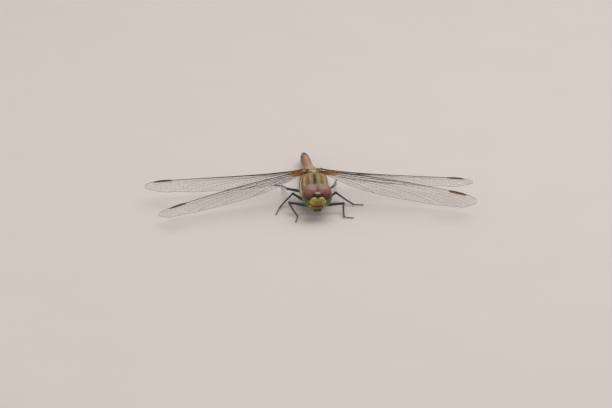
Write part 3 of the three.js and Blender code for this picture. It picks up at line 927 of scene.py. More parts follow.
# the shields between the wings: where each one is, its radii and its tilt
SHIELDS = (
    *(((side * 0.46, 6.22, 6.6), (0.6, 0.62, 0.42), -6) for side in (RIGHT, LEFT)),
    ((0, 6.98, 6.58), (0.46, 0.4, 0.32), -10),
    *(((side * 0.5, 7.84, 6.18), (0.6, 0.68, 0.42), -12) for side in (RIGHT, LEFT)),
    ((0, 8.66, 6.02), (0.5, 0.42, 0.34), -16), ((0, 9.45, 5.66), (0.86, 0.48, 0.4), -20),
)
NECK_FORMS = (
    ((0, 2.2, 4.5), (1.2, 0.5, 0.95), 20), ((0, 2.05, 5.15), (0.8, 0.3, 0.3), 25),
    ((0, 2.1, 2.95), (1.1, 0.7, 0.78)), ((0, 1.7, 4.1), (0.5, 0.8, 0.46)),
)


def thorax_shape(body):
    """One skin over the thorax, neck plates, back shields and wing hinges, cut by its seams."""
    shields = [ellipsoid(at, radii, tilt) for at, radii, tilt in SHIELDS]
    hinges = forms(*((at, radii, -14) for at, radii in HINGES))
    points, faces, normals = blended(
        [thorax_loft(), *forms(*NECK_FORMS), *shields, *hinges], body.skin_grain / MM, 5)
    seams = thorax_seams(points)
    front = smooth(thorax_along(points), 2.5, 2.2) * smooth(points[:, 2], 5.0, 5.4)
    keel = bump(points[:, 0], 0, 0.09) * front
    depth = KEEL_HEIGHT * keel - body.seam_depth / MM * seams
    return points + normals * depth[:, None], faces, seams


def plate_masks(points):
    """Where the back shields, the dark sockets of the wings and the rims of all plates are."""
    folded = np.stack([np.abs(points[:, 0]), points[:, 1], points[:, 2]], -1)
    hinges = [(folded - at) / radii for at, radii in HINGES]
    near_shields = [np.linalg.norm((points - at) / radii, axis=1) for at, radii, _ in SHIELDS]
    near_hinges = [np.linalg.norm(offset, axis=1) for offset in hinges]
    near_plates = near_shields + near_hinges
    sockets = [smooth(near_hinges[i], 1.3, 1.15) * smooth(hinges[i][:, 1], -0.15, -0.5)
               * smooth(hinges[i][:, 2], -0.8, -0.5) * smooth(hinges[i][:, 2], top, top - 0.25)
               for i, top in DARK_FRONTS]
    inside = strongest(*(smooth(near, 1.08, 0.95) for near in near_plates))
    rims = strongest(*(bump(near, 1.2, 0.1) for near in near_plates)) * (1 - inside)
    return (strongest(*(smooth(near, 1.1, 1.0) for near in near_shields)), strongest(*sockets),
            rims * smooth(points[:, 2], 5.6, 5.9))


def thorax_masks(points, seams):
    """Where the thorax is dark, pale, brown, amber, dull below, and hairy."""
    along, aside, height = thorax_along(points), np.abs(points[:, 0]), points[:, 2]
    shield, sockets, rims = plate_masks(points)
    front = smooth(along, 2.45, 2.25)
    stripe_width = STRIPE_WIDTH * np.sqrt(1 - np.clip(np.abs(height - 5.8) / 1.0, 0, 1) ** 6)
    stripe = smooth(aside, stripe_width + 0.03, stripe_width - 0.06) * front
    back = smooth(along, 2.45, 2.7) * smooth(height, 6.1, 6.5)
    flank = smooth(aside, 1.0, 1.5) * (1 - back)
    lean = 0.24 * (height - SEAMS_FROM)
    panel = np.maximum(smooth(along, 1.25 + lean, 1.5 + lean) * smooth(along, 3.0, 2.5),
                       smooth(along, 4.25, 4.6) * smooth(along, 6.6, 6.0))
    valley = smooth(along, 2.5, 2.8) * smooth(aside, 1.25, 0.9) * smooth(height, 5.4, 5.7)
    collar = bump(along, 2.34 - 0.35 * bump(aside, 1.0, 0.55), 0.17) * smooth(
        aside, 0.2, 0.38) * smooth(height, 6.1, 6.4)
    by_wings = flank * smooth(height, 5.3, 6.1) * smooth(along, 1.3, 1.9)
    return {
        "dark": strongest(seams ** 0.7, stripe, 0.5 * valley * (1 - shield), sockets),
        "pale": strongest(flank * panel, 0.8 * shield, 0.22 * front * bump(aside, 0.75, 0.16),
                          0.5 * front * bump(aside, 1.95, 0.25)),
        "brown": strongest(collar, 0.6 * rims * (1 - front), 0.3 * front * bump(aside, 1.2, 0.2),
                           0.35 * front * bump(aside, 0.4, 0.1)),
        "amber": 0.75 * strongest(back * smooth(aside, 0.8, 1.3), by_wings),
        "below": smooth(height, 2.4, 1.7),
        "hair": (1 - 0.4 * flank) * (1 - 0.55 * back) * smooth(height, 1.8, 2.4) * (1 - seams),
    }


def thorax_material(colours):
    """Olive plates with pale panels, amber by the wings, and near-black seams."""
    skin = Finish("thorax_olive", colours.olive, 0.5, 0.35, Sheen_Weight=0.15)
    skin.paint("95793c", ("height", 5.4, 6.6, 0.6, 900))
    skin.paint(colours.cream, "pale")
    skin.paint("5d4426", "brown")
    skin.paint("db984c", "amber")
    skin.paint("8b7355", "below")
    skin.paint(darker(colours.dark, 0.8), ("dark", 0.25, 0.65))
    return skin.finish("4f3c1f", 0.35, 1700, 0.02)


class BuildThorax(bpy.types.Operator):
    """The thorax with its plates, seams, back shields and wing hinges"""

    bl_idname = "dragonfly.thorax"
    bl_label = "Thorax"

    def execute(self, context):
        points, faces, seams = thorax_shape(context.scene.dragonfly_body)
        new_piece("thorax_skin", (points, faces),
                  thorax_material(context.scene.dragonfly_colours), "thorax",
                  ["thorax", "prothorax"], thorax_masks(points, seams))
        return {"FINISHED"}


# ---- abdomen

# where each ring has its cross sections, how far the flank keels and the keel along the top stand
# out, and how deep the belly's fold is
RING_PHASES = (0.015, 0.04, 0.08, 0.15, 0.25, 0.38, 0.5, 0.62, 0.75, 0.85, 0.92, 0.96, 0.985)
FLANK_KEEL, TOP_KEEL, BELLY_FOLD = 0.035, 0.025, 0.07
RING_SIDES = 64


def abdomen_shape(ring_step):
    """Ten rings that telescope backwards, with a keel on each flank and a folded belly."""
    path = np.array(ABDOMEN_PATH, float)
    arcs = np.concatenate([[0], np.cumsum(np.linalg.norm(np.diff(path, axis=0), axis=1))])
    line = through(arcs / arcs[-1], path)
    ends = np.concatenate([[0], np.cumsum(ABDOMEN_SEGMENTS)]) / sum(ABDOMEN_SEGMENTS)
    rise, aside = np.sin(around(RING_SIDES)), np.cos(around(RING_SIDES))
    relief = (FLANK_KEEL * bump(rise, -0.3, 0.1) + TOP_KEEL * bump(aside, 0, 0.08) * (rise > 0)
              - BELLY_FOLD * bump(rise, -0.72, 0.09))
    rings, segment = [], []
    for number in range(len(ABDOMEN_SEGMENTS)):
        for phase in RING_PHASES:
            t = ends[number] + phase * (ends[number + 1] - ends[number])
            across, up = across_and_up(unit(line(min(t + 0.01, 1)) - line(max(t - 0.01, 0))))
            lip = ring_step * (phase ** 5 - 1.1 * (1 - phase) ** 9) if number else 0
            swell = 1 + (lip + relief) / abdomen_half_width(t)
            height = abdomen_half_height(t) * np.where(rise < 0, 0.88, 1)
            rings.append(line(t) + (swell * abdomen_half_width(t) * aside)[:, None] * across
                         + (swell * height * rise)[:, None] * up)
            segment.append(number + phase)
    segment = np.repeat(segment, RING_SIDES)
    return *loft(rings), {
        "segment": np.concatenate([segment, [0, 10]]),
        "top": np.concatenate([np.tile(rise, len(rings)), [0, 0]]),
        "hair": np.concatenate([1 - 0.6 * smooth(segment, 0.5, 2.5), [0, 0]]),
    }


def abdomen_material(colours):
    """Orange-brown above with a painted pale sheen along the top, dark joints and flank marks,
    darker below and at the end.
    """
    skin = Finish("abdomen_orange", "c6a48a", 0.42, 0.4)
    phase = skin.maths("FRACT", skin.value("segment"))
    skin.paint(colours.orange, ("segment", 1.8, 3.2, 0.6, 900))
    # paler along the top ridge: a painted sheen where the light from above falls on the abdomen
    skin.paint("d9a56c", ("top", 0.82, 0.97, 0.2, 1500), 0.65)
    skin.paint("2a1c14", ("top", 0.28, 0.02, 0.25, 1300), ("top", -0.5, -0.25),
               ("segment", 1.2, 2.0), (phase, 0.1, 0.45, 0.2, 1500))
    skin.paint("6e5844", ("top", -0.35, -0.6, 0.15, 1500))
    sides = skin.mask(("segment", 3.8, 6.0, 0.6, 1200), ("top", 0.9, 0.5))
    skin.paint(colours.tail, skin.maths("MAXIMUM", sides,
                                        skin.zone("segment", 7.6, 8.8, 0.4, 1200)))
    skin.paint("322c2b", ("top", 0.8, 0.94, 0.1, 1500), ("segment", 6.1, 6.6, 0.2, 1500))
    skin.paint("241811", skin.maths("MAXIMUM", skin.zone(phase, 0.965, 0.99),
                                    skin.zone(phase, 0.04, 0.015)))
    return skin.finish("5d3a20", 0.4, 1800, 0.012)


def clasper_shapes():
    """Two upper claspers that bow apart, and the short flap under them."""
    tail, before = np.array(ABDOMEN_PATH[-1]), np.array(ABDOMEN_PATH[-2])
    along = unit(tail - before)
    steps = np.linspace(0, 1, 24)
    shapes = []
    for side in (RIGHT, LEFT):
        across = side * (0.17 + 0.13 * np.sin(steps * 2.4))
        path = tail + along * (steps * 1.15 - 0.2)[:, None]
        path = path + np.stack([across, 0 * steps, 0.1 + 0.2 * steps], -1)
        shapes.append(tube(path, 0.12 * (1 - steps ** 3) ** 0.6 + 0.012))
    steps = np.linspace(0, 1, 16)
    path = tail + along * (steps * 0.75 - 0.2)[:, None] - np.array((0, 0, 0.12))
    shapes.append(tube(path, 0.2 * (1 - steps ** 3) ** 0.7 + 0.02, sides=16, flat=0.5))
    return joined(shapes)


class BuildAbdomen(bpy.types.Operator):
    """The ringed abdomen and the claspers at its end"""

    bl_idname = "dragonfly.abdomen"
    bl_label = "Abdomen"

    def execute(self, context):
        colours = context.scene.dragonfly_colours
        shape = abdomen_shape(context.scene.dragonfly_body.ring_step / MM)
        rings = [f"abdomen_{number + 1}" for number in range(len(ABDOMEN_SEGMENTS))]
        new_piece("abdomen_skin", shape, abdomen_material(colours), "abdomen", rings, shape[2])
        new_piece("abdomen_claspers", clasper_shapes(),
                  horn("clasper_black", colours.dark, "2e241c"), "tail_end",
                  ["cercus_right", "cercus_left"])
        return {"FINISHED"}


# ---- wings

# The main veins from front to back: each is a path of shares of the wing's length and of
# millimetres behind the front margin, how strong it is, and whether it rides high or low in the
# corrugation. The first two end on the front margin, the others on the hind margin.
FORE_VEINS = (
    (((0, 0.26), (0.1, 0.42), (0.3, 0.36), (0.45, 0.22), (0.53, 0.0)), 0.9, -0.9),
    (((0, 0.6), (0.1, 0.85), (0.3, 0.8), (0.53, 0.55), (0.7, 0.52), (0.82, 0.62), (0.924, 0.85),
      (0.965, 1.0)), 1.2, 1.0),
    (((0.13, 0.9), (0.2, 1.35), (0.35, 1.45), (0.53, 1.12), (0.7, 1.15), (0.85, 1.5),
      (0.985, 2.35)), 0.8, -0.7),
    (((0.4, 1.4), (0.53, 1.75), (0.7, 2.2), (0.82, 2.95), (0.9, 3.8), (0.955, 5.0)),
     0.6, 0.5),
    (((0.3, 1.45), (0.45, 2.1), (0.6, 2.75), (0.75, 3.7), (0.85, 4.9), (0.9, 6.0)),
     0.55, -0.5),
    (((0.24, 1.4), (0.3, 1.9), (0.45, 2.75), (0.6, 3.6), (0.7, 4.6), (0.77, 5.7), (0.8, 6.4)),
     0.6, 0.5),
    (((0, 0.85), (0.08, 1.25), (0.14, 1.6), (0.2, 1.95), (0.35, 2.85), (0.5, 3.6), (0.6, 4.45),
      (0.68, 5.6), (0.73, 6.9)), 0.75, -0.5),
    (((0.17, 1.78), (0.2, 2.6), (0.24, 3.1), (0.3, 3.65), (0.4, 4.6), (0.48, 5.6), (0.55, 6.9)),
     0.6, 0.45),
    (((0, 1.0), (0.08, 1.75), (0.14, 2.45), (0.2, 3.35), (0.25, 4.3), (0.3, 5.3), (0.34, 6.4)),
     0.65, -0.4),
)
HIND_VEINS = (
    (((0, 0.25), (0.1, 0.4), (0.3, 0.3), (0.44, 0.0)), 0.9, -0.9),
    (((0, 0.58), (0.1, 0.82), (0.3, 0.62), (0.44, 0.52), (0.7, 0.52), (0.818, 0.64),
      (0.922, 0.87), (0.965, 1.05)), 1.2, 1.0),
    (((0.1, 0.82), (0.16, 1.3), (0.3, 1.3), (0.44, 1.08), (0.7, 1.15), (0.85, 1.5),
      (0.985, 2.45)), 0.8, -0.7),
    (((0.33, 1.28), (0.44, 1.7), (0.6, 2.2), (0.75, 2.95), (0.85, 3.8), (0.94, 5.4)),
     0.6, 0.5),
    (((0.24, 1.3), (0.35, 2.0), (0.5, 2.7), (0.65, 3.6), (0.78, 4.9), (0.86, 6.2)),
     0.55, -0.5),
    (((0.19, 1.3), (0.3, 2.3), (0.45, 3.2), (0.6, 4.4), (0.7, 5.8), (0.75, 6.8)),
     0.6, 0.5),
    (((0, 0.85), (0.06, 1.2), (0.1, 1.5), (0.2, 2.2), (0.35, 3.3), (0.5, 4.4), (0.6, 5.8),
      (0.66, 7.4)), 0.75, -0.5),
    (((0.12, 1.62), (0.15, 2.4), (0.2, 3.1), (0.3, 4.4), (0.4, 5.8), (0.47, 7.2), (0.51, 8.2)),
     0.6, 0.45),
    (((0, 1.12), (0.06, 1.75), (0.1, 2.3), (0.15, 3.2), (0.22, 4.6), (0.3, 6.3), (0.37, 8.6)),
     0.65, -0.4),
    (((0, 1.4), (0.05, 2.2), (0.09, 3.4), (0.14, 5.2), (0.2, 6.6), (0.26, 7.6), (0.31, 8.8)),
     0.5, 0.3),
    (((0, 1.75), (0.03, 2.8), (0.07, 4.6), (0.1, 6.0), (0.135, 7.9)), 0.45, -0.2),
)
# rows of cells behind each main vein: how tall a row is and how far apart its cross veins are
FIRST_CELLS = ((9, 1.9), (9, 1.3), (9, 1.15), (0.85, 0.85), (0.85, 0.8), (0.8, 0.8), (0.9, 0.8),
               (0.8, 0.75))
FORE_CELLS = (*FIRST_CELLS, (0.72, 0.7), (0.66, 0.66))
HIND_CELLS = (*FIRST_CELLS, (0.78, 0.72), (0.72, 0.68), (0.68, 0.66), (0.68, 0.66))

ENDING_IN_FRONT = 2
TIP_ROUNDNESS = (1.9, 0.56)


def rounding(u, start):
    """1 along the blade, falling to 0 at the tip from the station where the rounding starts."""
    inner, outer = TIP_ROUNDNESS
    return (1 - np.clip((u - start) / (1 - start), 0, 1) ** inner) ** outer


# how fast the corrugation fades to the tip, how far apart veins are when their heights are their
# own, the station that the pitch is given at, where the bow ends, and what draws the sag's
# deepest place towards the root
CORRUGATION_FADE = 0.6
VEINS_APART = 0.5
PITCH_AT = 0.4
BOW_TO = 0.9
SAG_POWER = 0.6


class Wing:
    """The curved surface of one wing, with its margins, its main veins and their relief."""

    def __init__(self, name, corrugation):
        self.plan, self.side, self.length, sweep, droop, self.pitch, self.twist = WINGS[name]
        sweep, droop = math.radians(sweep), math.radians(droop)
        self.span = np.array((self.side * math.cos(sweep) * math.cos(droop),
                              -math.sin(sweep) * math.cos(droop), -math.sin(droop)))
        self.back = unit(np.cross((0, 0, 1), self.span) * self.side)
        self.above = unit(np.cross(self.span, self.back) * self.side)
        x, y, z = self.plan["root"]
        self.root = np.array((self.side * x, y, z))
        self.chord = through(self.plan["along"], self.plan["chord"])
        fore = name.startswith("forewing")
        self.veins, self.cells = (FORE_VEINS, FORE_CELLS) if fore else (HIND_VEINS, HIND_CELLS)
        self.corrugation = corrugation

    def front(self, u):
        return self.plan["tip_chord"] * (1 - rounding(u, FRONT_ROUNDS_FROM))

    def rear(self, u):
        widest = self.chord(np.minimum(u, BACK_ROUNDS_FROM))
        tip = self.plan["tip_chord"]
        return tip + (widest - tip) * rounding(u, BACK_ROUNDS_FROM)

    def lines(self, u):
        """How far behind the front each vein lies, front margin first and hind margin last."""
        front, rear = self.front(u), self.rear(u)
        lines = [front]
        for number, (path, _, _) in enumerate(self.veins):
            margin = front if number < ENDING_IN_FRONT else rear
            stations, chords = zip(*path)
            chord = through(stations, chords)(u)
            chord = np.where(u < stations[0], lines[-1], chord)
            chord = np.where(u > stations[-1], margin, chord)
            lines.append(np.minimum(np.maximum(chord, lines[-1]), rear))
        return np.array([*lines, rear])

    def levels(self, u, lines):
        """How high each vein rides; veins that run together share one height."""
        targets = [1.0, *(height for _, _, height in self.veins), 0.0]
        levels = [np.full(np.shape(u), targets[0])]
        for number in range(1, len(targets)):
            apart = smooth(lines[number] - lines[number - 1], 0, VEINS_APART)
            levels.append(levels[-1] + (targets[number] - levels[-1]) * apart)
        return np.array(levels) * self.corrugation * (1 - CORRUGATION_FADE * np.asarray(u))

    def relief(self, u, chord):
        """Height of the corrugated film at a place on the wing."""
        lines = self.lines(u)
        levels = self.levels(u, lines)
        height = levels[0].copy()
        for number in range(len(lines) - 1):
            width = np.maximum(lines[number + 1] - lines[number], 1e-4)
            step = smooth((chord - lines[number]) / width, 0, 1)
            height = height + (levels[number + 1] - levels[number]) * step
        return height

    def place(self, u, behind, height):
        """A point of the blade from its share of the length, its chord and its height."""
        u, behind, height = np.broadcast_arrays(
            np.asarray(u, float), np.asarray(behind, float), np.asarray(height, float))
        pitch = np.radians(self.pitch + self.twist * (u - PITCH_AT))[..., None]
        down = self.back * np.cos(pitch) - self.above * np.sin(pitch)
        normal = self.back * np.sin(pitch) + self.above * np.cos(pitch)
        part = np.clip(u / BOW_TO, 0, 1)
        bow = self.plan["bow"] * np.sin(math.pi * part)
        sag = self.plan["sag"] * np.sin(math.pi * part ** SAG_POWER)
        camber = self.plan["camber"] * np.sin(math.pi * np.clip(behind / CAMBER_CHORD, 0, 1))
        return (self.root + self.span * (u * self.length)[..., None]
                + down * (behind - bow)[..., None]
                + normal * (camber - sag + height)[..., None])


# how many stations the film, the margins and the main veins have, and how many points the film
# has from one vein to the next
FILM_STATIONS, MARGIN_STATIONS, VEIN_STATIONS = 170, 150, 90
FILM_POINTS = 3
WING_ROOT = -0.015
# hind margin and struts as shares of the front vein and the main veins
HIND_MARGIN_SHARE, STRUT_SHARE = 0.3, 0.8
STIGMA_SIDES, STIGMA_STATIONS = 20, 26
WELD = 0.002 * MM


def wing_stations(steps):
    """Shares of the wing's length, closer together round the tip."""
    v = np.linspace(0, 1, steps)
    bend = 0.8 + 0.1995 * np.sin(np.clip((v - 0.75) / 0.25, 0, 1) * math.pi / 2)
    return np.where(v < 0.75, WING_ROOT + (0.8 - WING_ROOT) * v / 0.75, bend)


def film_shape(wing, thickness):
    """A thin closed film over the whole blade, folded along the main veins, and its amber mask."""
    rings, amber = [], []
    wide = wing.plan["amber"]
    for u in wing_stations(FILM_STATIONS):
        lines = wing.lines(u)
        spans = [np.linspace(low, high, FILM_POINTS, endpoint=False)
                 for low, high in zip(lines, lines[1:])]
        chords = np.concatenate([*spans, lines[-1:]])
        height = wing.relief(np.full(chords.shape, u), chords)
        top = wing.place(u, chords, height + thickness / 2)
        below = wing.place(u, chords, height - thickness / 2)
        rings.append(np.concatenate([top, below[::-1]]))
        reach = 0.1 - 0.014 * chords + 0.006 * np.sin(chords * 5)
        tint = smooth(u, reach + 0.02, reach - 0.03) * smooth(chords, wide, 0.5 * wide)
        amber.append(np.concatenate([tint, tint[::-1]]))
    points, faces = loft(rings)
    return points, faces, np.concatenate([*amber, [0, 0]])


def cell_edges(seeds, ghosts):
    """Sides of the cells round the seeds; ghosts close the rows and have no cells."""
    places = [Vector(place) for place in (*seeds, *ghosts)]
    points, _, faces, sources, _, _ = delaunay_2d_cdt(places, [], [], 0, 1e-6)
    centres = []
    for a, b, c in faces:
        p, q, r = points[a], points[b], points[c]
        turn = 2 * (p.x * (q.y - r.y) + q.x * (r.y - p.y) + r.x * (p.y - q.y))
        if abs(turn) < 1e-9:
            centres.append(None)
            continue
        pp, qq, rr = p.length_squared, q.length_squared, r.length_squared
        centres.append((
            (pp * (q.y - r.y) + qq * (r.y - p.y) + rr * (p.y - q.y)) / turn,
            (pp * (r.x - q.x) + qq * (p.x - r.x) + rr * (q.x - p.x)) / turn))
    beside = {}
    for number, face in enumerate(faces):
        for a, b in zip(face, (*face[1:], face[0])):
            beside.setdefault(frozenset((a, b)), []).append(number)
    sides = []
    for pair, owners in beside.items():
        real = all(min(sources[i]) < len(seeds) for i in pair)
        if real and len(owners) == 2 and None not in (centres[owners[0]], centres[owners[1]]):
            sides.append((centres[owners[0]], centres[owners[1]]))
    return sides


# where cells begin, how far a seed strays along and across its row, the narrowest gap that has
# cells, the shortest side that is kept, how much closer cross veins stand beyond the nodus, and
# the most rows in a gap; lengths in millimetres, the strays and the nodus as shares
CELLS_FROM = 0.4
STRAY_ALONG, STRAY_ACROSS = (0.86, 1.14), (-0.07, 0.07)
NARROWEST_GAP = 0.18
SHORTEST_SIDE = 0.04
AFTER_NODUS = 0.68
MOST_ROWS = 8


def cell_seeds(wing, number, tall, spacing, rng):
    """Seeds of the cells behind one main vein, and ghosts mirrored past the gap's two edges."""
    seeds, ghosts = [], []
    for row in range(MOST_ROWS):
        x = CELLS_FROM + (0.5 * spacing if row % 2 else 0) + rng.uniform(0, 0.2)
        while x < wing.length * 0.995:
            u = x / wing.length
            low, high = wing.lines(u)[number:number + 2]
            rows = max(1, round((high - low) / tall))
            if high - low > NARROWEST_GAP and row < rows:
                chord = low + (high - low) * ((row + 0.5 + rng.uniform(*STRAY_ACROSS)) / rows)
                seeds.append((x, chord))
                if row == 0:
                    ghosts.append((x, 2 * low - chord))
                if row == rows - 1:
                    ghosts.append((x, 2 * high - chord))
            finer = AFTER_NODUS if number < 2 and u > wing.plan["nodus"] else 1
            x += spacing * finer * rng.uniform(*STRAY_ALONG)
    return seeds, ghosts


def cross_veins(wing, rng):
    """The small veins between each pair of main veins, as pairs of places on the wing."""
    start, end = wing.plan["stigma"]
    for number, (tall, spacing) in enumerate(wing.cells):
        seeds, ghosts = cell_seeds(wing, number, tall, spacing, rng)
        for ends in cell_edges(seeds, ghosts) if len(seeds) > 1 else ():
            along, across = np.array(ends).T
            u = np.clip(along / wing.length, 0, 0.998)
            low, high = wing.lines(u)[number:number + 2]
            chords = np.clip(across, low, high)
            reach = 0.45 * (high - low) / np.maximum(1, np.round((high - low) / tall))
            chords = np.where(chords - low < reach, low, chords)
            chords = np.where(high - chords < reach, high, chords)
            in_stigma = number < 2 and start - 0.01 < u.mean() < end + 0.01
            length = np.hypot(np.ptp(u) * wing.length, np.ptp(chords))
            if length > SHORTEST_SIDE and not in_stigma:
                yield u, chords


def struts(wing):
    """The stout cross veins: the nodus, the arch near the root and the stigma's two ends."""
    start, end = wing.plan["stigma"]
    arch = wing.veins[2][0][0][0]
    places = ((wing.plan["nodus"], 0, 3, 0.012), (arch, 2, 7, 0.01), (start, 0, 2, -0.006),
              (end, 0, 2, -0.006))
    for u, first, last, slant in places:
        ends = np.array((u, u + slant))
        lines = wing.lines(ends)
        yield ends, np.array((lines[first][0], lines[last][1]))


def vein_net(wing, settings, rng):
    """Every vein as an edge path: points in the frame, edges, and a radius at each point."""
    points, edges, radii = [], [], []

    def run(u, chord, radius):
        start = sum(len(part) for part in points)
        points.append(wing.place(u, chord, wing.relief(u, chord)))
        edges.extend((start + i, start + i + 1) for i in range(len(u) - 1))
        radii.append(np.broadcast_to(radius, u.shape))

    costa, main, cross = (settings.costa / MM, settings.main_vein / MM, settings.cross_vein / MM)
    u = wing_stations(MARGIN_STATIONS)
    run(u, wing.front(u), costa * (1 - 0.62 * smooth(u, 0.1, 1)))
    run(u, wing.rear(u), HIND_MARGIN_SHARE * costa * (1 + 0.4 * smooth(u, 0.2, 0)))
    for number, (path, strength, _) in enumerate(wing.veins):
        u = np.linspace(path[0][0] or -0.01, path[-1][0], VEIN_STATIONS)
        chord = wing.lines(u)[number + 1]
        inside = chord < wing.rear(u) - 0.01
        u, chord = u[inside], chord[inside]
        run(u, chord, main * strength * (1 - 0.6 * smooth(u, 0.05, 0.95)))
    for u, chord in struts(wing):
        run(u, chord, STRUT_SHARE * main)
    for u, chord in cross_veins(wing, rng):
        run(u, chord, cross * (0.75 + 0.65 * smooth(u.mean(), 0.5, 0)))
    return np.concatenate(points) * MM + HEAD_PLACE, edges, np.concatenate(radii) * MM


def stigma_shape(wing):
    """A thickened cell between the front vein and the next, with rounded rims."""
    start, end = wing.plan["stigma"]
    rise = np.sin(around(STIGMA_SIDES))
    across = (1 - np.cos(around(STIGMA_SIDES))) / 2
    rings, rim = [], []
    for part in np.linspace(0, 1, STIGMA_STATIONS):
        u = np.full(STIGMA_SIDES, start + (end - start) * part)
        lines = wing.lines(u[0])
        low, high = lines[0] - 0.03, lines[2] + 0.23
        chord = low + (high - low) * across
        thick = 0.05 + 0.12 * math.sin(math.pi * part) ** 0.6
        height = wing.relief(u, chord) + thick * np.sign(rise) * np.abs(rise) ** 0.6
        rings.append(wing.place(u, chord, height))
        rim.append(np.maximum(smooth(np.abs(across - 0.5), 0.42, 0.495),
                              smooth(abs(part - 0.5), 0.46, 0.495)))
    points, faces = loft(rings)
    return points, faces, np.concatenate([*rim, [1, 1]])


def film_material(colours):
    """Clear film that shows mostly by its gloss, tinted amber at the root."""
    film = Finish("wing_film", colours.film, 0.16, 0.4, IOR=1.5)
    tint = film.zone("amber", 0.15, 0.6, 0.5, 2600)
    film.paint(film.over(colours.amber, "d2641a", ("aside", 4.2, 2.0, 0.5, 900), 0.7), tint)
    edge = film.add("LayerWeight", {"Blend": 0.25}).outputs["Fresnel"]
    clear = film.maths("MULTIPLY_ADD", edge, 0.1, 0.01)
    clear = film.maths("MULTIPLY_ADD", film.noise(420.0), 0.03, clear)
    film.tree.links.new(film.maths("MULTIPLY_ADD", tint, 0.74, clear),
                        film.shader.inputs["Alpha"])
    return film.finish("8f8a80", 0.2, 500, 0.006)


def vein_material(colours):
    """Near-black veins that warm to brown and amber at the root of the wing."""
    vein = Finish("wing_vein", colours.vein, 0.4, 0.45)
    vein.paint("6b3410", ("aside", 7.0, 2.2, 1.0, 900))
    return vein.finish("3a2a1c", 0.3, 1500, 0.003)


def stigma_material(colours):
    """Brown cells with a dark rim."""
    cell = Finish("wing_cell", colours.stigma, 0.4, 0.45)
    cell.paint(darker(colours.dark, 0.6), "rim")
    return cell.finish("1d1008", 0.5, 2600, 0.006)


def new_tree(name, *inputs):
    """A geometry tree: a mesh, its named sizes and a material go in, and a mesh comes out."""
    tree = bpy.data.node_groups.new(name, "GeometryNodeTree")
    sockets(tree, "INPUT", [("Geometry", "Geometry"), *inputs, ("Material", "Material")])
    sockets(tree, "OUTPUT", [("Geometry", "Geometry")])
    return tree, add(tree, "NodeGroupInput").outputs


def geometry(tree, kind, values, **settings):
    return add(tree, "GeometryNode" + kind, values, **settings).outputs[0]


def named(tree, name, kind="FLOAT"):
    """Reads an attribute of the mesh by its name."""
    return geometry(tree, "InputNamedAttribute", {"Name": name}, data_type=kind)


def close_tree(tree, shapes, material):
    """Ends a tree in Realize Instances and Set Material."""
    real = geometry(tree, "RealizeInstances", {"Geometry": shapes})
    done = geometry(tree, "SetMaterial", {"Geometry": real, "Material": material})
    add(tree, "NodeGroupOutput", {0: done})
    return tree


def path_tree():
    """Geometry nodes that thicken edge paths into veins."""
    tree, given = new_tree("vein_paths", ("Sides", "Int", 6))
    curves = geometry(tree, "MeshToCurve", {"Mesh": given["Geometry"]})
    ring = geometry(tree, "CurvePrimitiveCircle", {"Resolution": given["Sides"], "Radius": 1.0})
    tubes = geometry(tree, "CurveToMesh", {
        "Curve": curves, "Profile Curve": ring, "Scale": named(tree, "thickness"),
        "Fill Caps": True})
    return close_tree(tree, tubes, given["Material"])


class BuildWings(bpy.types.Operator):
    """Four wings: clear film, a net of veins and a thickened cell near each tip"""

    bl_idname = "dragonfly.wings"
    bl_label = "Wings"

    def execute(self, context):
        settings, colours = context.scene.dragonfly_wings, context.scene.dragonfly_colours
        film, vein, cell = film_material(colours), vein_material(colours), stigma_material(colours)
        rng = np.random.default_rng(settings.seed)
        tree = path_tree()
        for name in WINGS:
            wing = Wing(name, settings.corrugation / MM)
            *shape, amber = film_shape(wing, settings.film / MM)
            new_piece(f"{name}_film", shape, film, "wings", [name], {"amber": amber},
                      merge=WELD)
            points, edges, radii = vein_net(wing, settings, rng)
            mesh = new_mesh(f"{name}_paths", points, [], edges)
            set_mask(mesh, "thickness", radii)
            veins = grown(f"{name}_veins", mesh, tree, "wings", Sides=6, Material=vein)
            veins.data.shade_smooth()
            *shape, rim = stigma_shape(wing)
            new_piece(f"{name}_cell", shape, cell, "wing_cells", [f"{name}_stigma"],
                      {"rim": rim})
        return {"FINISHED"}


# ---- legs

THIGH_SHARE = 0.12
FOOT_SHARE = 0.8
HIP_REACH = (0.32, 0.22, 0.95)
TOE_RISE = 0.1
SHIN_BEND = 0.12
HIP_GRAIN = 0.05
# how far claws spread, rise and hook, and how much spines lean along the leg
CLAW_SPREAD, CLAW_RISE, CLAW_HOOK = 0.11, 0.05, 0.085
SPINE_LEAN = 0.62
TARSUS_JOINTS = (0, 0.18, 0.46, 1)


def leg_joints(name):
    """Hip, thigh, knee, ankle and toe of a leg, in body millimetres."""
    hip, knee, ankle, toe = (np.array(point, float) for point in LEGS[name])
    toe = ankle + (toe - ankle) * FOOT_SHARE
    toe[2] = TOE_RISE
    return hip, hip + (knee - hip) * THIGH_SHARE, knee, ankle, toe


def base_shape():
    """The first two joints of every leg, where it leaves the breast."""
    rods = []
    for name in LEGS:
        hip, thigh, knee, _, _ = leg_joints(name)
        inward = np.array(HIP_REACH) * (-np.sign(hip[0]), 1, 1)
        rods.append(rod(hip + inward, hip, lambda t: 0.48 - 0.1 * np.asarray(t)))
        rods.append(rod(hip, thigh + (knee - hip) * 0.06, lambda t: 0.36 - 0.07 * np.asarray(t)))
    return blended(rods, HIP_GRAIN, 3)


def thigh_radius(t):
    return 0.3 + 0.03 * bump(t, 0.25, 0.3) - 0.09 * np.asarray(t) + 0.03 * bump(t, 0.97, 0.05)


def shin_radius(t):
    return 0.175 + 0.03 * bump(t, 0, 0.08) - 0.045 * np.asarray(t) + 0.02 * bump(t, 0.99, 0.03)


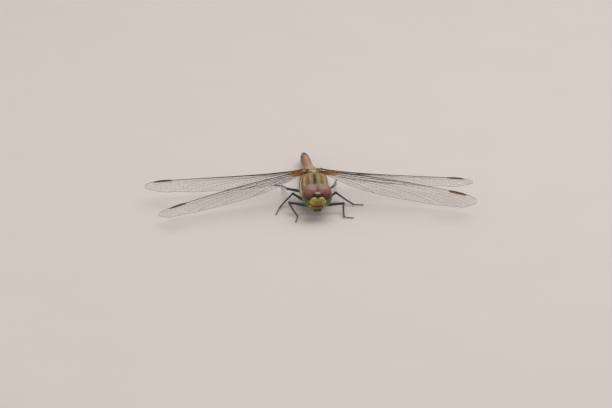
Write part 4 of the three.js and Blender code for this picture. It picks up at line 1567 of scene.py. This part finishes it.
def leg_shape(name, claw):
    """Thigh, shin and three-jointed foot with two hooked claws."""
    _, thigh, knee, ankle, toe = leg_joints(name)
    bend = across_and_up(ankle - knee)[0] * SHIN_BEND
    parts = [rod(thigh, knee, thigh_radius, 40, 16), rod(knee, ankle, shin_radius, 40, bend=bend)]
    foot = toe - ankle
    for low, high in zip(TARSUS_JOINTS, TARSUS_JOINTS[1:]):
        parts.append(rod(ankle + foot * (low + 0.02), ankle + foot * high,
                         lambda t: 0.075 + 0.03 * np.asarray(t) ** 2, 12, 10))
    forward = unit(foot * (1, 1, 0))
    aside = np.array((-forward[1], forward[0], 0))
    steps = np.linspace(0, 1, 14)
    rise = CLAW_RISE * np.sin(steps * math.pi) - CLAW_HOOK * steps ** 2
    for side in (RIGHT, LEFT):
        spread = side * CLAW_SPREAD * np.sin(steps * 1.9)
        path = (toe + forward * (steps * claw)[:, None] + aside * spread[:, None]
                + rise[:, None] * (0, 0, 1))
        parts.append(tube(path, 0.038 * (1 - steps) ** 0.7 + 0.006, sides=8))
    return joined(parts)


def spine_rows(name, length):
    """Where the spines of one leg stand, which way they point and how long they are."""
    _, thigh, knee, ankle, _ = leg_joints(name)
    rows = (
        (thigh, knee, np.linspace(0.3, 0.94, 8), 0.17, 0.5, -0.75, 0.5, 0),
        (knee, ankle, np.linspace(0.1, 0.96, 10), 0.12, 0.85, -0.35, 1.0, SHIN_BEND),
    )
    for start, end, shares, surface, aside, up, long, bend in rows:
        along = unit(end - start)
        across, above = across_and_up(along)
        for side in (RIGHT, LEFT):
            out = unit(across * side * aside + above * up)
            for number, at in enumerate(shares):
                bow = across * bend * math.sin(math.pi * at)
                yield (start + (end - start) * at + bow + out * surface,
                       unit(out + along * SPINE_LEAN),
                       length * long * (1 - 0.35 * at) * (1 if number % 2 else 0.82))


def aimed(tree, aim):
    """The rotation that turns an upright shape along an aim."""
    return add(tree, "FunctionNodeAlignRotationToVector", {"Vector": aim}, axis="Z").outputs[0]


def spine_tree():
    """Geometry nodes that stand a tapered spine on each point, along its aim."""
    tree, given = new_tree("spines", ("Sides", "Int", 5), ("Stoutness", "Float", 0.06))
    spine = geometry(tree, "MeshCone", {
        "Vertices": given["Sides"], "Side Segments": 3, "Radius Top": 0.004,
        "Radius Bottom": given["Stoutness"], "Depth": 1.0})
    spines = geometry(tree, "InstanceOnPoints", {
        "Points": given["Geometry"], "Instance": spine,
        "Rotation": aimed(tree, named(tree, "aim", "FLOAT_VECTOR")),
        "Scale": named(tree, "size")})
    return close_tree(tree, spines, given["Material"])


def leg_material(colours):
    """Black horn with a faint blue-green gloss, browner towards the body."""
    black = Finish("leg_black", colours.leg, 0.32, Coat_Weight=0.15, Coat_Roughness=0.2)
    black.paint("3a2a1c", ("aside", 2.6, 1.5, 0.6, 1200))
    return black.finish("1d2526", 0.6, 1600, 0.012)


class BuildLegs(bpy.types.Operator):
    """Six legs with their spines and claws"""

    bl_idname = "dragonfly.legs"
    bl_label = "Legs"

    def execute(self, context):
        body, colours = context.scene.dragonfly_body, context.scene.dragonfly_colours
        black, tree = leg_material(colours), spine_tree()
        new_piece("leg_bases", base_shape(), horn("hip_brown", "5d4528", colours.dark, amount=0.7),
                  "leg_bases", [f"{name}_coxa" for name in LEGS])
        for name in LEGS:
            new_piece(f"{name}_limb", leg_shape(name, body.claw / MM), black, "legs",
                      [f"{name}_{part}" for part in ("femur", "tibia", "tarsus")])
            rows = spine_rows(name, context.scene.dragonfly_coat.spine / MM)
            places, aims, sizes = zip(*rows)
            mesh = new_mesh(f"{name}_points", np.array(places) * MM + HEAD_PLACE, [])
            set_mask(mesh, "aim", aims, "FLOAT_VECTOR")
            set_mask(mesh, "size", np.array(sizes) * MM)
            grown(f"{name}_spines", mesh, tree, "legs", Sides=5, Stoutness=0.06, Material=black)
        return {"FINISHED"}


# ---- hair

HAIR_SIDES = 3
HAIR_STEPS = 4
PATCH = 0.003


def hair_tree():
    """Geometry nodes that scatter bent, tapered hairs where the mesh's hair mask is high."""
    tree, given = new_tree(
        "hairs", ("Density", "Float", 1.0), ("Length", "Float", 0.0005), ("Width", "Float", 0.02),
        ("Bend", "Float", 0.3), ("Spread", "Float", 0.3), ("Lie", "Vector", (0, 0, 0)),
        ("Seed", "Int", 1))

    def scattered(kind, index, low, high):
        values = {index: low, index + 1: high, "Seed": given["Seed"]}
        return add(tree, "FunctionNodeRandomValue", values, data_type=kind).outputs[index // 2]

    def spread(sign):
        return add(tree, "ShaderNodeVectorMath", {0: (sign,) * 3, 3: given["Spread"]},
                   operation="SCALE").outputs[0]

    density = maths(tree, "MULTIPLY", named(tree, "hair"), given["Density"])
    roots = add(tree, "GeometryNodeDistributePointsOnFaces", {
        "Mesh": given["Geometry"], "Density": density, "Seed": given["Seed"]}).outputs
    kept = geometry(tree, "StoreNamedAttribute", {
        "Geometry": roots["Points"], "Name": "root",
        "Value": geometry(tree, "InputPosition", {}),
    }, data_type="FLOAT_VECTOR", domain="POINT")
    stray = scattered("FLOAT_VECTOR", 0, spread(-1), spread(1))
    lying = vector_maths(tree, "ADD", roots["Normal"], given["Lie"])
    long = maths(tree, "MULTIPLY", scattered("FLOAT", 2, 0.55, 1.15), given["Length"])
    tip = add(tree, "ShaderNodeCombineXYZ", {"X": given["Bend"], "Z": 0.93}).outputs[0]
    line = geometry(tree, "CurveQuadraticBezier", {
        "Resolution": HAIR_STEPS, "Start": (0, 0, 0), "Middle": (0, 0, 0.55), "End": tip})
    along = add(tree, "GeometryNodeSplineParameter").outputs["Factor"]
    ring = geometry(tree, "CurvePrimitiveCircle", {
        "Resolution": HAIR_SIDES, "Radius": given["Width"]})
    hair = geometry(tree, "CurveToMesh", {
        "Curve": line, "Profile Curve": ring, "Fill Caps": True,
        "Scale": maths(tree, "MULTIPLY_ADD", along, -0.88, 1.0)})
    hairs = geometry(tree, "InstanceOnPoints", {
        "Points": kept, "Instance": hair, "Scale": long,
        "Rotation": aimed(tree, vector_maths(tree, "ADD", lying, stray))})
    return close_tree(tree, hairs, given["Material"])


def lay_patches(mesh):
    """Gives each hair a small patch of the bake map, at its root's place round the body."""
    roots = read(mesh.attributes["root"].data, "vector", 3, np.float32) - HEAD_PLACE
    lean = np.interp(roots[:, 1] / MM, (0, 8, 31), (4.3, 4.5, 1.2)) * MM
    turn = np.arctan2(roots[:, 0], roots[:, 2] - lean) / (2 * math.pi) + 0.5
    along = np.interp(roots[:, 1] / MM, (-4, 34), (0.02, 0.98))
    row, column = np.divmod(np.arange(len(roots)) % ((HAIR_STEPS + 1) * HAIR_SIDES), HAIR_SIDES)
    inside = np.stack([column / (HAIR_SIDES - 1), row / HAIR_STEPS], -1)
    places = np.stack([turn * 0.99, along], -1) + inside * PATCH
    corners = read(mesh.loops, "vertex_index", 1, np.int32)
    mesh.uv_layers.new(name="OFBake").data.foreach_set(
        "uv", places[corners].astype(np.float32).ravel())


def grow(name, skins, tree, slot, hairs, **values):
    """Hair over the skins' hair masks, about as many hairs as given, as one piece."""
    shape = bmesh.new()
    for skin in skins:
        shape.from_mesh(bpy.data.objects[skin].data)
    mesh = bpy.data.meshes.new(f"{name}_skin")
    shape.to_mesh(mesh)
    shape.free()
    mask = read(mesh.attributes["hair"].data, "value", 1, np.float32)
    area = sum(face.area * mask[face.vertices[0]] for face in mesh.polygons)
    piece = grown(name, mesh, tree, slot, Density=hairs / max(area, 1e-9), **values)
    lay_patches(piece.data)


def hair_material(name, base, root):
    """Fine hair, mottled with a darker root colour and uneven from tuft to tuft."""
    hair = Finish(name, base, 0.45, 0.4, Sheen_Weight=0.3)
    hair.paint(darker(base, 0.75), (hair.noise(1500.0), 0.4, 0.65))
    return hair.finish(root, 0.4, 3200, 0.002)


# each growth of hair: its skins, slot and length, its share of that length and how many hairs,
# then how wide, bent, stray and which way it lies, its seed, and whether it is dark
GROWTHS = {
    "thorax_hair": (["thorax_skin"], "thorax", "pile", 1, None, 0.014, 0.35, 0.45,
                    (0, -0.25, 0.15), 3, False),
    "crown_hair": (["head_capsule"], "head_capsule", "bristle", 1, 500, 0.022, 0.2, 0.3,
                   (0, 0, 0), 4, False),
    "face_bristles": ([f"face_{plate}" for plate in FACE_PLATES], "face", "bristle", 0.8, 700,
                      0.028, 0.2, 0.3, (0, -0.2, -0.2), 5, True),
    "abdomen_hair": (["abdomen_skin"], "abdomen", "down", 1, 2600, 0.03, 0.3, 0.2, (0, 0.9, 0),
                     6, True),
}


class BuildHair(bpy.types.Operator):
    """Pile on the thorax, bristles on the head and short down on the abdomen"""

    bl_idname = "dragonfly.hair"
    bl_label = "Hair"

    def execute(self, context):
        coat, colours = context.scene.dragonfly_coat, context.scene.dragonfly_colours
        tree = hair_tree()
        pale = hair_material("hair_straw", colours.hair, "a89468")
        black = hair_material("bristle_dark", colours.dark, "2e2318")
        for name, row in GROWTHS.items():
            skins, slot, length, part, hairs, width, bend, spread, lie, seed, dark = row
            grow(name, skins, tree, slot, hairs or coat.pile_count,
                 Length=getattr(coat, length) * part, Width=width, Bend=bend, Spread=spread,
                 Lie=lie, Seed=seed, Material=black if dark else pale)
        return {"FINISHED"}


# ---- stage

HEAD_HEIGHT = 4.2 * MM
# from the head to the two soft lights
KEY_AT, FILL_AT = (0.12, 0.08, 0.45), (-0.3, -0.45, 0.3)
# how far right of and above the middle of the view the head stands
ASIDE, ABOVE = 2.02 * MM, 1.3 * MM
FLOOR_HALF = 1.6
LAMP_BREADTH = 0.5
SKY_TINT = (1, 0.985, 0.96)
SENSOR_WIDTH = 36
NEAREST, FARTHEST = 0.01, 20


def soft_light(name, target, offset, power):
    lamp = bpy.data.lights.new(name, "AREA")
    lamp.shape = "DISK"
    lamp.size = LAMP_BREADTH
    lamp.energy = power
    light = placed(name, lamp)
    light.location = target + Vector(offset)
    light.rotation_euler = (-Vector(offset)).to_track_quat("-Z", "Y").to_euler()


class BuildStage(bpy.types.Operator):
    """The plain floor, the soft lights and the camera"""

    bl_idname = "dragonfly.stage"
    bl_label = "Stage"

    def execute(self, context):
        scene, stage = context.scene, context.scene.dragonfly_stage
        corners = [(x * FLOOR_HALF, y * FLOOR_HALF, 0)
                   for x, y in ((-1, -1), (1, -1), (1, 1), (-1, 1))]
        mesh = new_mesh("floor", corners, [(0, 1, 2, 3)])
        paint = Finish("floor_pale", stage.floor, 0.7, 0.2)
        mesh.materials.append(paint.finish(darker(stage.floor, 0.94), 0.3, 60))
        floor = placed("floor", mesh)
        floor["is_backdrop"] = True
        head = Vector(HEAD_PLACE) + Vector((0, 0, HEAD_HEIGHT))
        soft_light("key_light", head, KEY_AT, stage.key)
        soft_light("fill_light", head, FILL_AT, stage.fill)
        scene.world = bpy.data.worlds.new("soft_sky")
        scene.world.use_nodes = True
        sky = scene.world.node_tree.nodes["Background"].inputs
        sky["Color"].default_value = (*SKY_TINT, 1)
        sky["Strength"].default_value = stage.sky
        lens = bpy.data.cameras.new("camera")
        lens.lens = stage.lens
        lens.sensor_width = SENSOR_WIDTH
        lens.clip_start, lens.clip_end = NEAREST, FARTHEST
        camera = placed("camera", lens)
        camera.rotation_euler = (math.pi / 2 - stage.pitch, 0, -stage.turn)
        turn = camera.rotation_euler.to_matrix()
        camera.location = head + turn @ Vector((-ASIDE, -ABOVE, stage.distance))
        scene.camera = camera
        scene.view_settings.view_transform = "Standard"
        return {"FINISHED"}


# ---- panel and registration

STEPS = (BuildEyes, BuildHead, BuildFace, BuildThorax, BuildAbdomen, BuildWings, BuildLegs,
         BuildHair, BuildStage)


class DragonflyPanel(bpy.types.Panel):
    """The steps that build the dragonfly, and the sizes and colours they use"""

    bl_idname = "DRAGONFLY_PT_steps"
    bl_label = "Dragonfly"
    bl_space_type = "VIEW_3D"
    bl_region_type = "UI"
    bl_category = "Dragonfly"

    def draw(self, context):
        for step in STEPS:
            self.layout.operator(step.bl_idname)
        for name, group in GROUPS.items():
            box = self.layout.box()
            for entry in group.__annotations__:
                box.prop(getattr(context.scene, name), entry)


def register():
    for kind in (*GROUPS.values(), *STEPS, DragonflyPanel):
        bpy.utils.register_class(kind)
    for name, group in GROUPS.items():
        setattr(bpy.types.Scene, name, PointerProperty(type=group))


def unregister():
    for name in GROUPS:
        delattr(bpy.types.Scene, name)
    for kind in reversed((*GROUPS.values(), *STEPS, DragonflyPanel)):
        bpy.utils.unregister_class(kind)


def main():
    register()
    for step in STEPS:
        family, name = step.bl_idname.split(".")
        getattr(getattr(bpy.ops, family), name)()
    boxes = {"cad": cad_box, "visual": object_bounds()}
    {key: [list(corner) for corner in box] for key, box in boxes.items()}


if __name__ == "__main__":
    main()
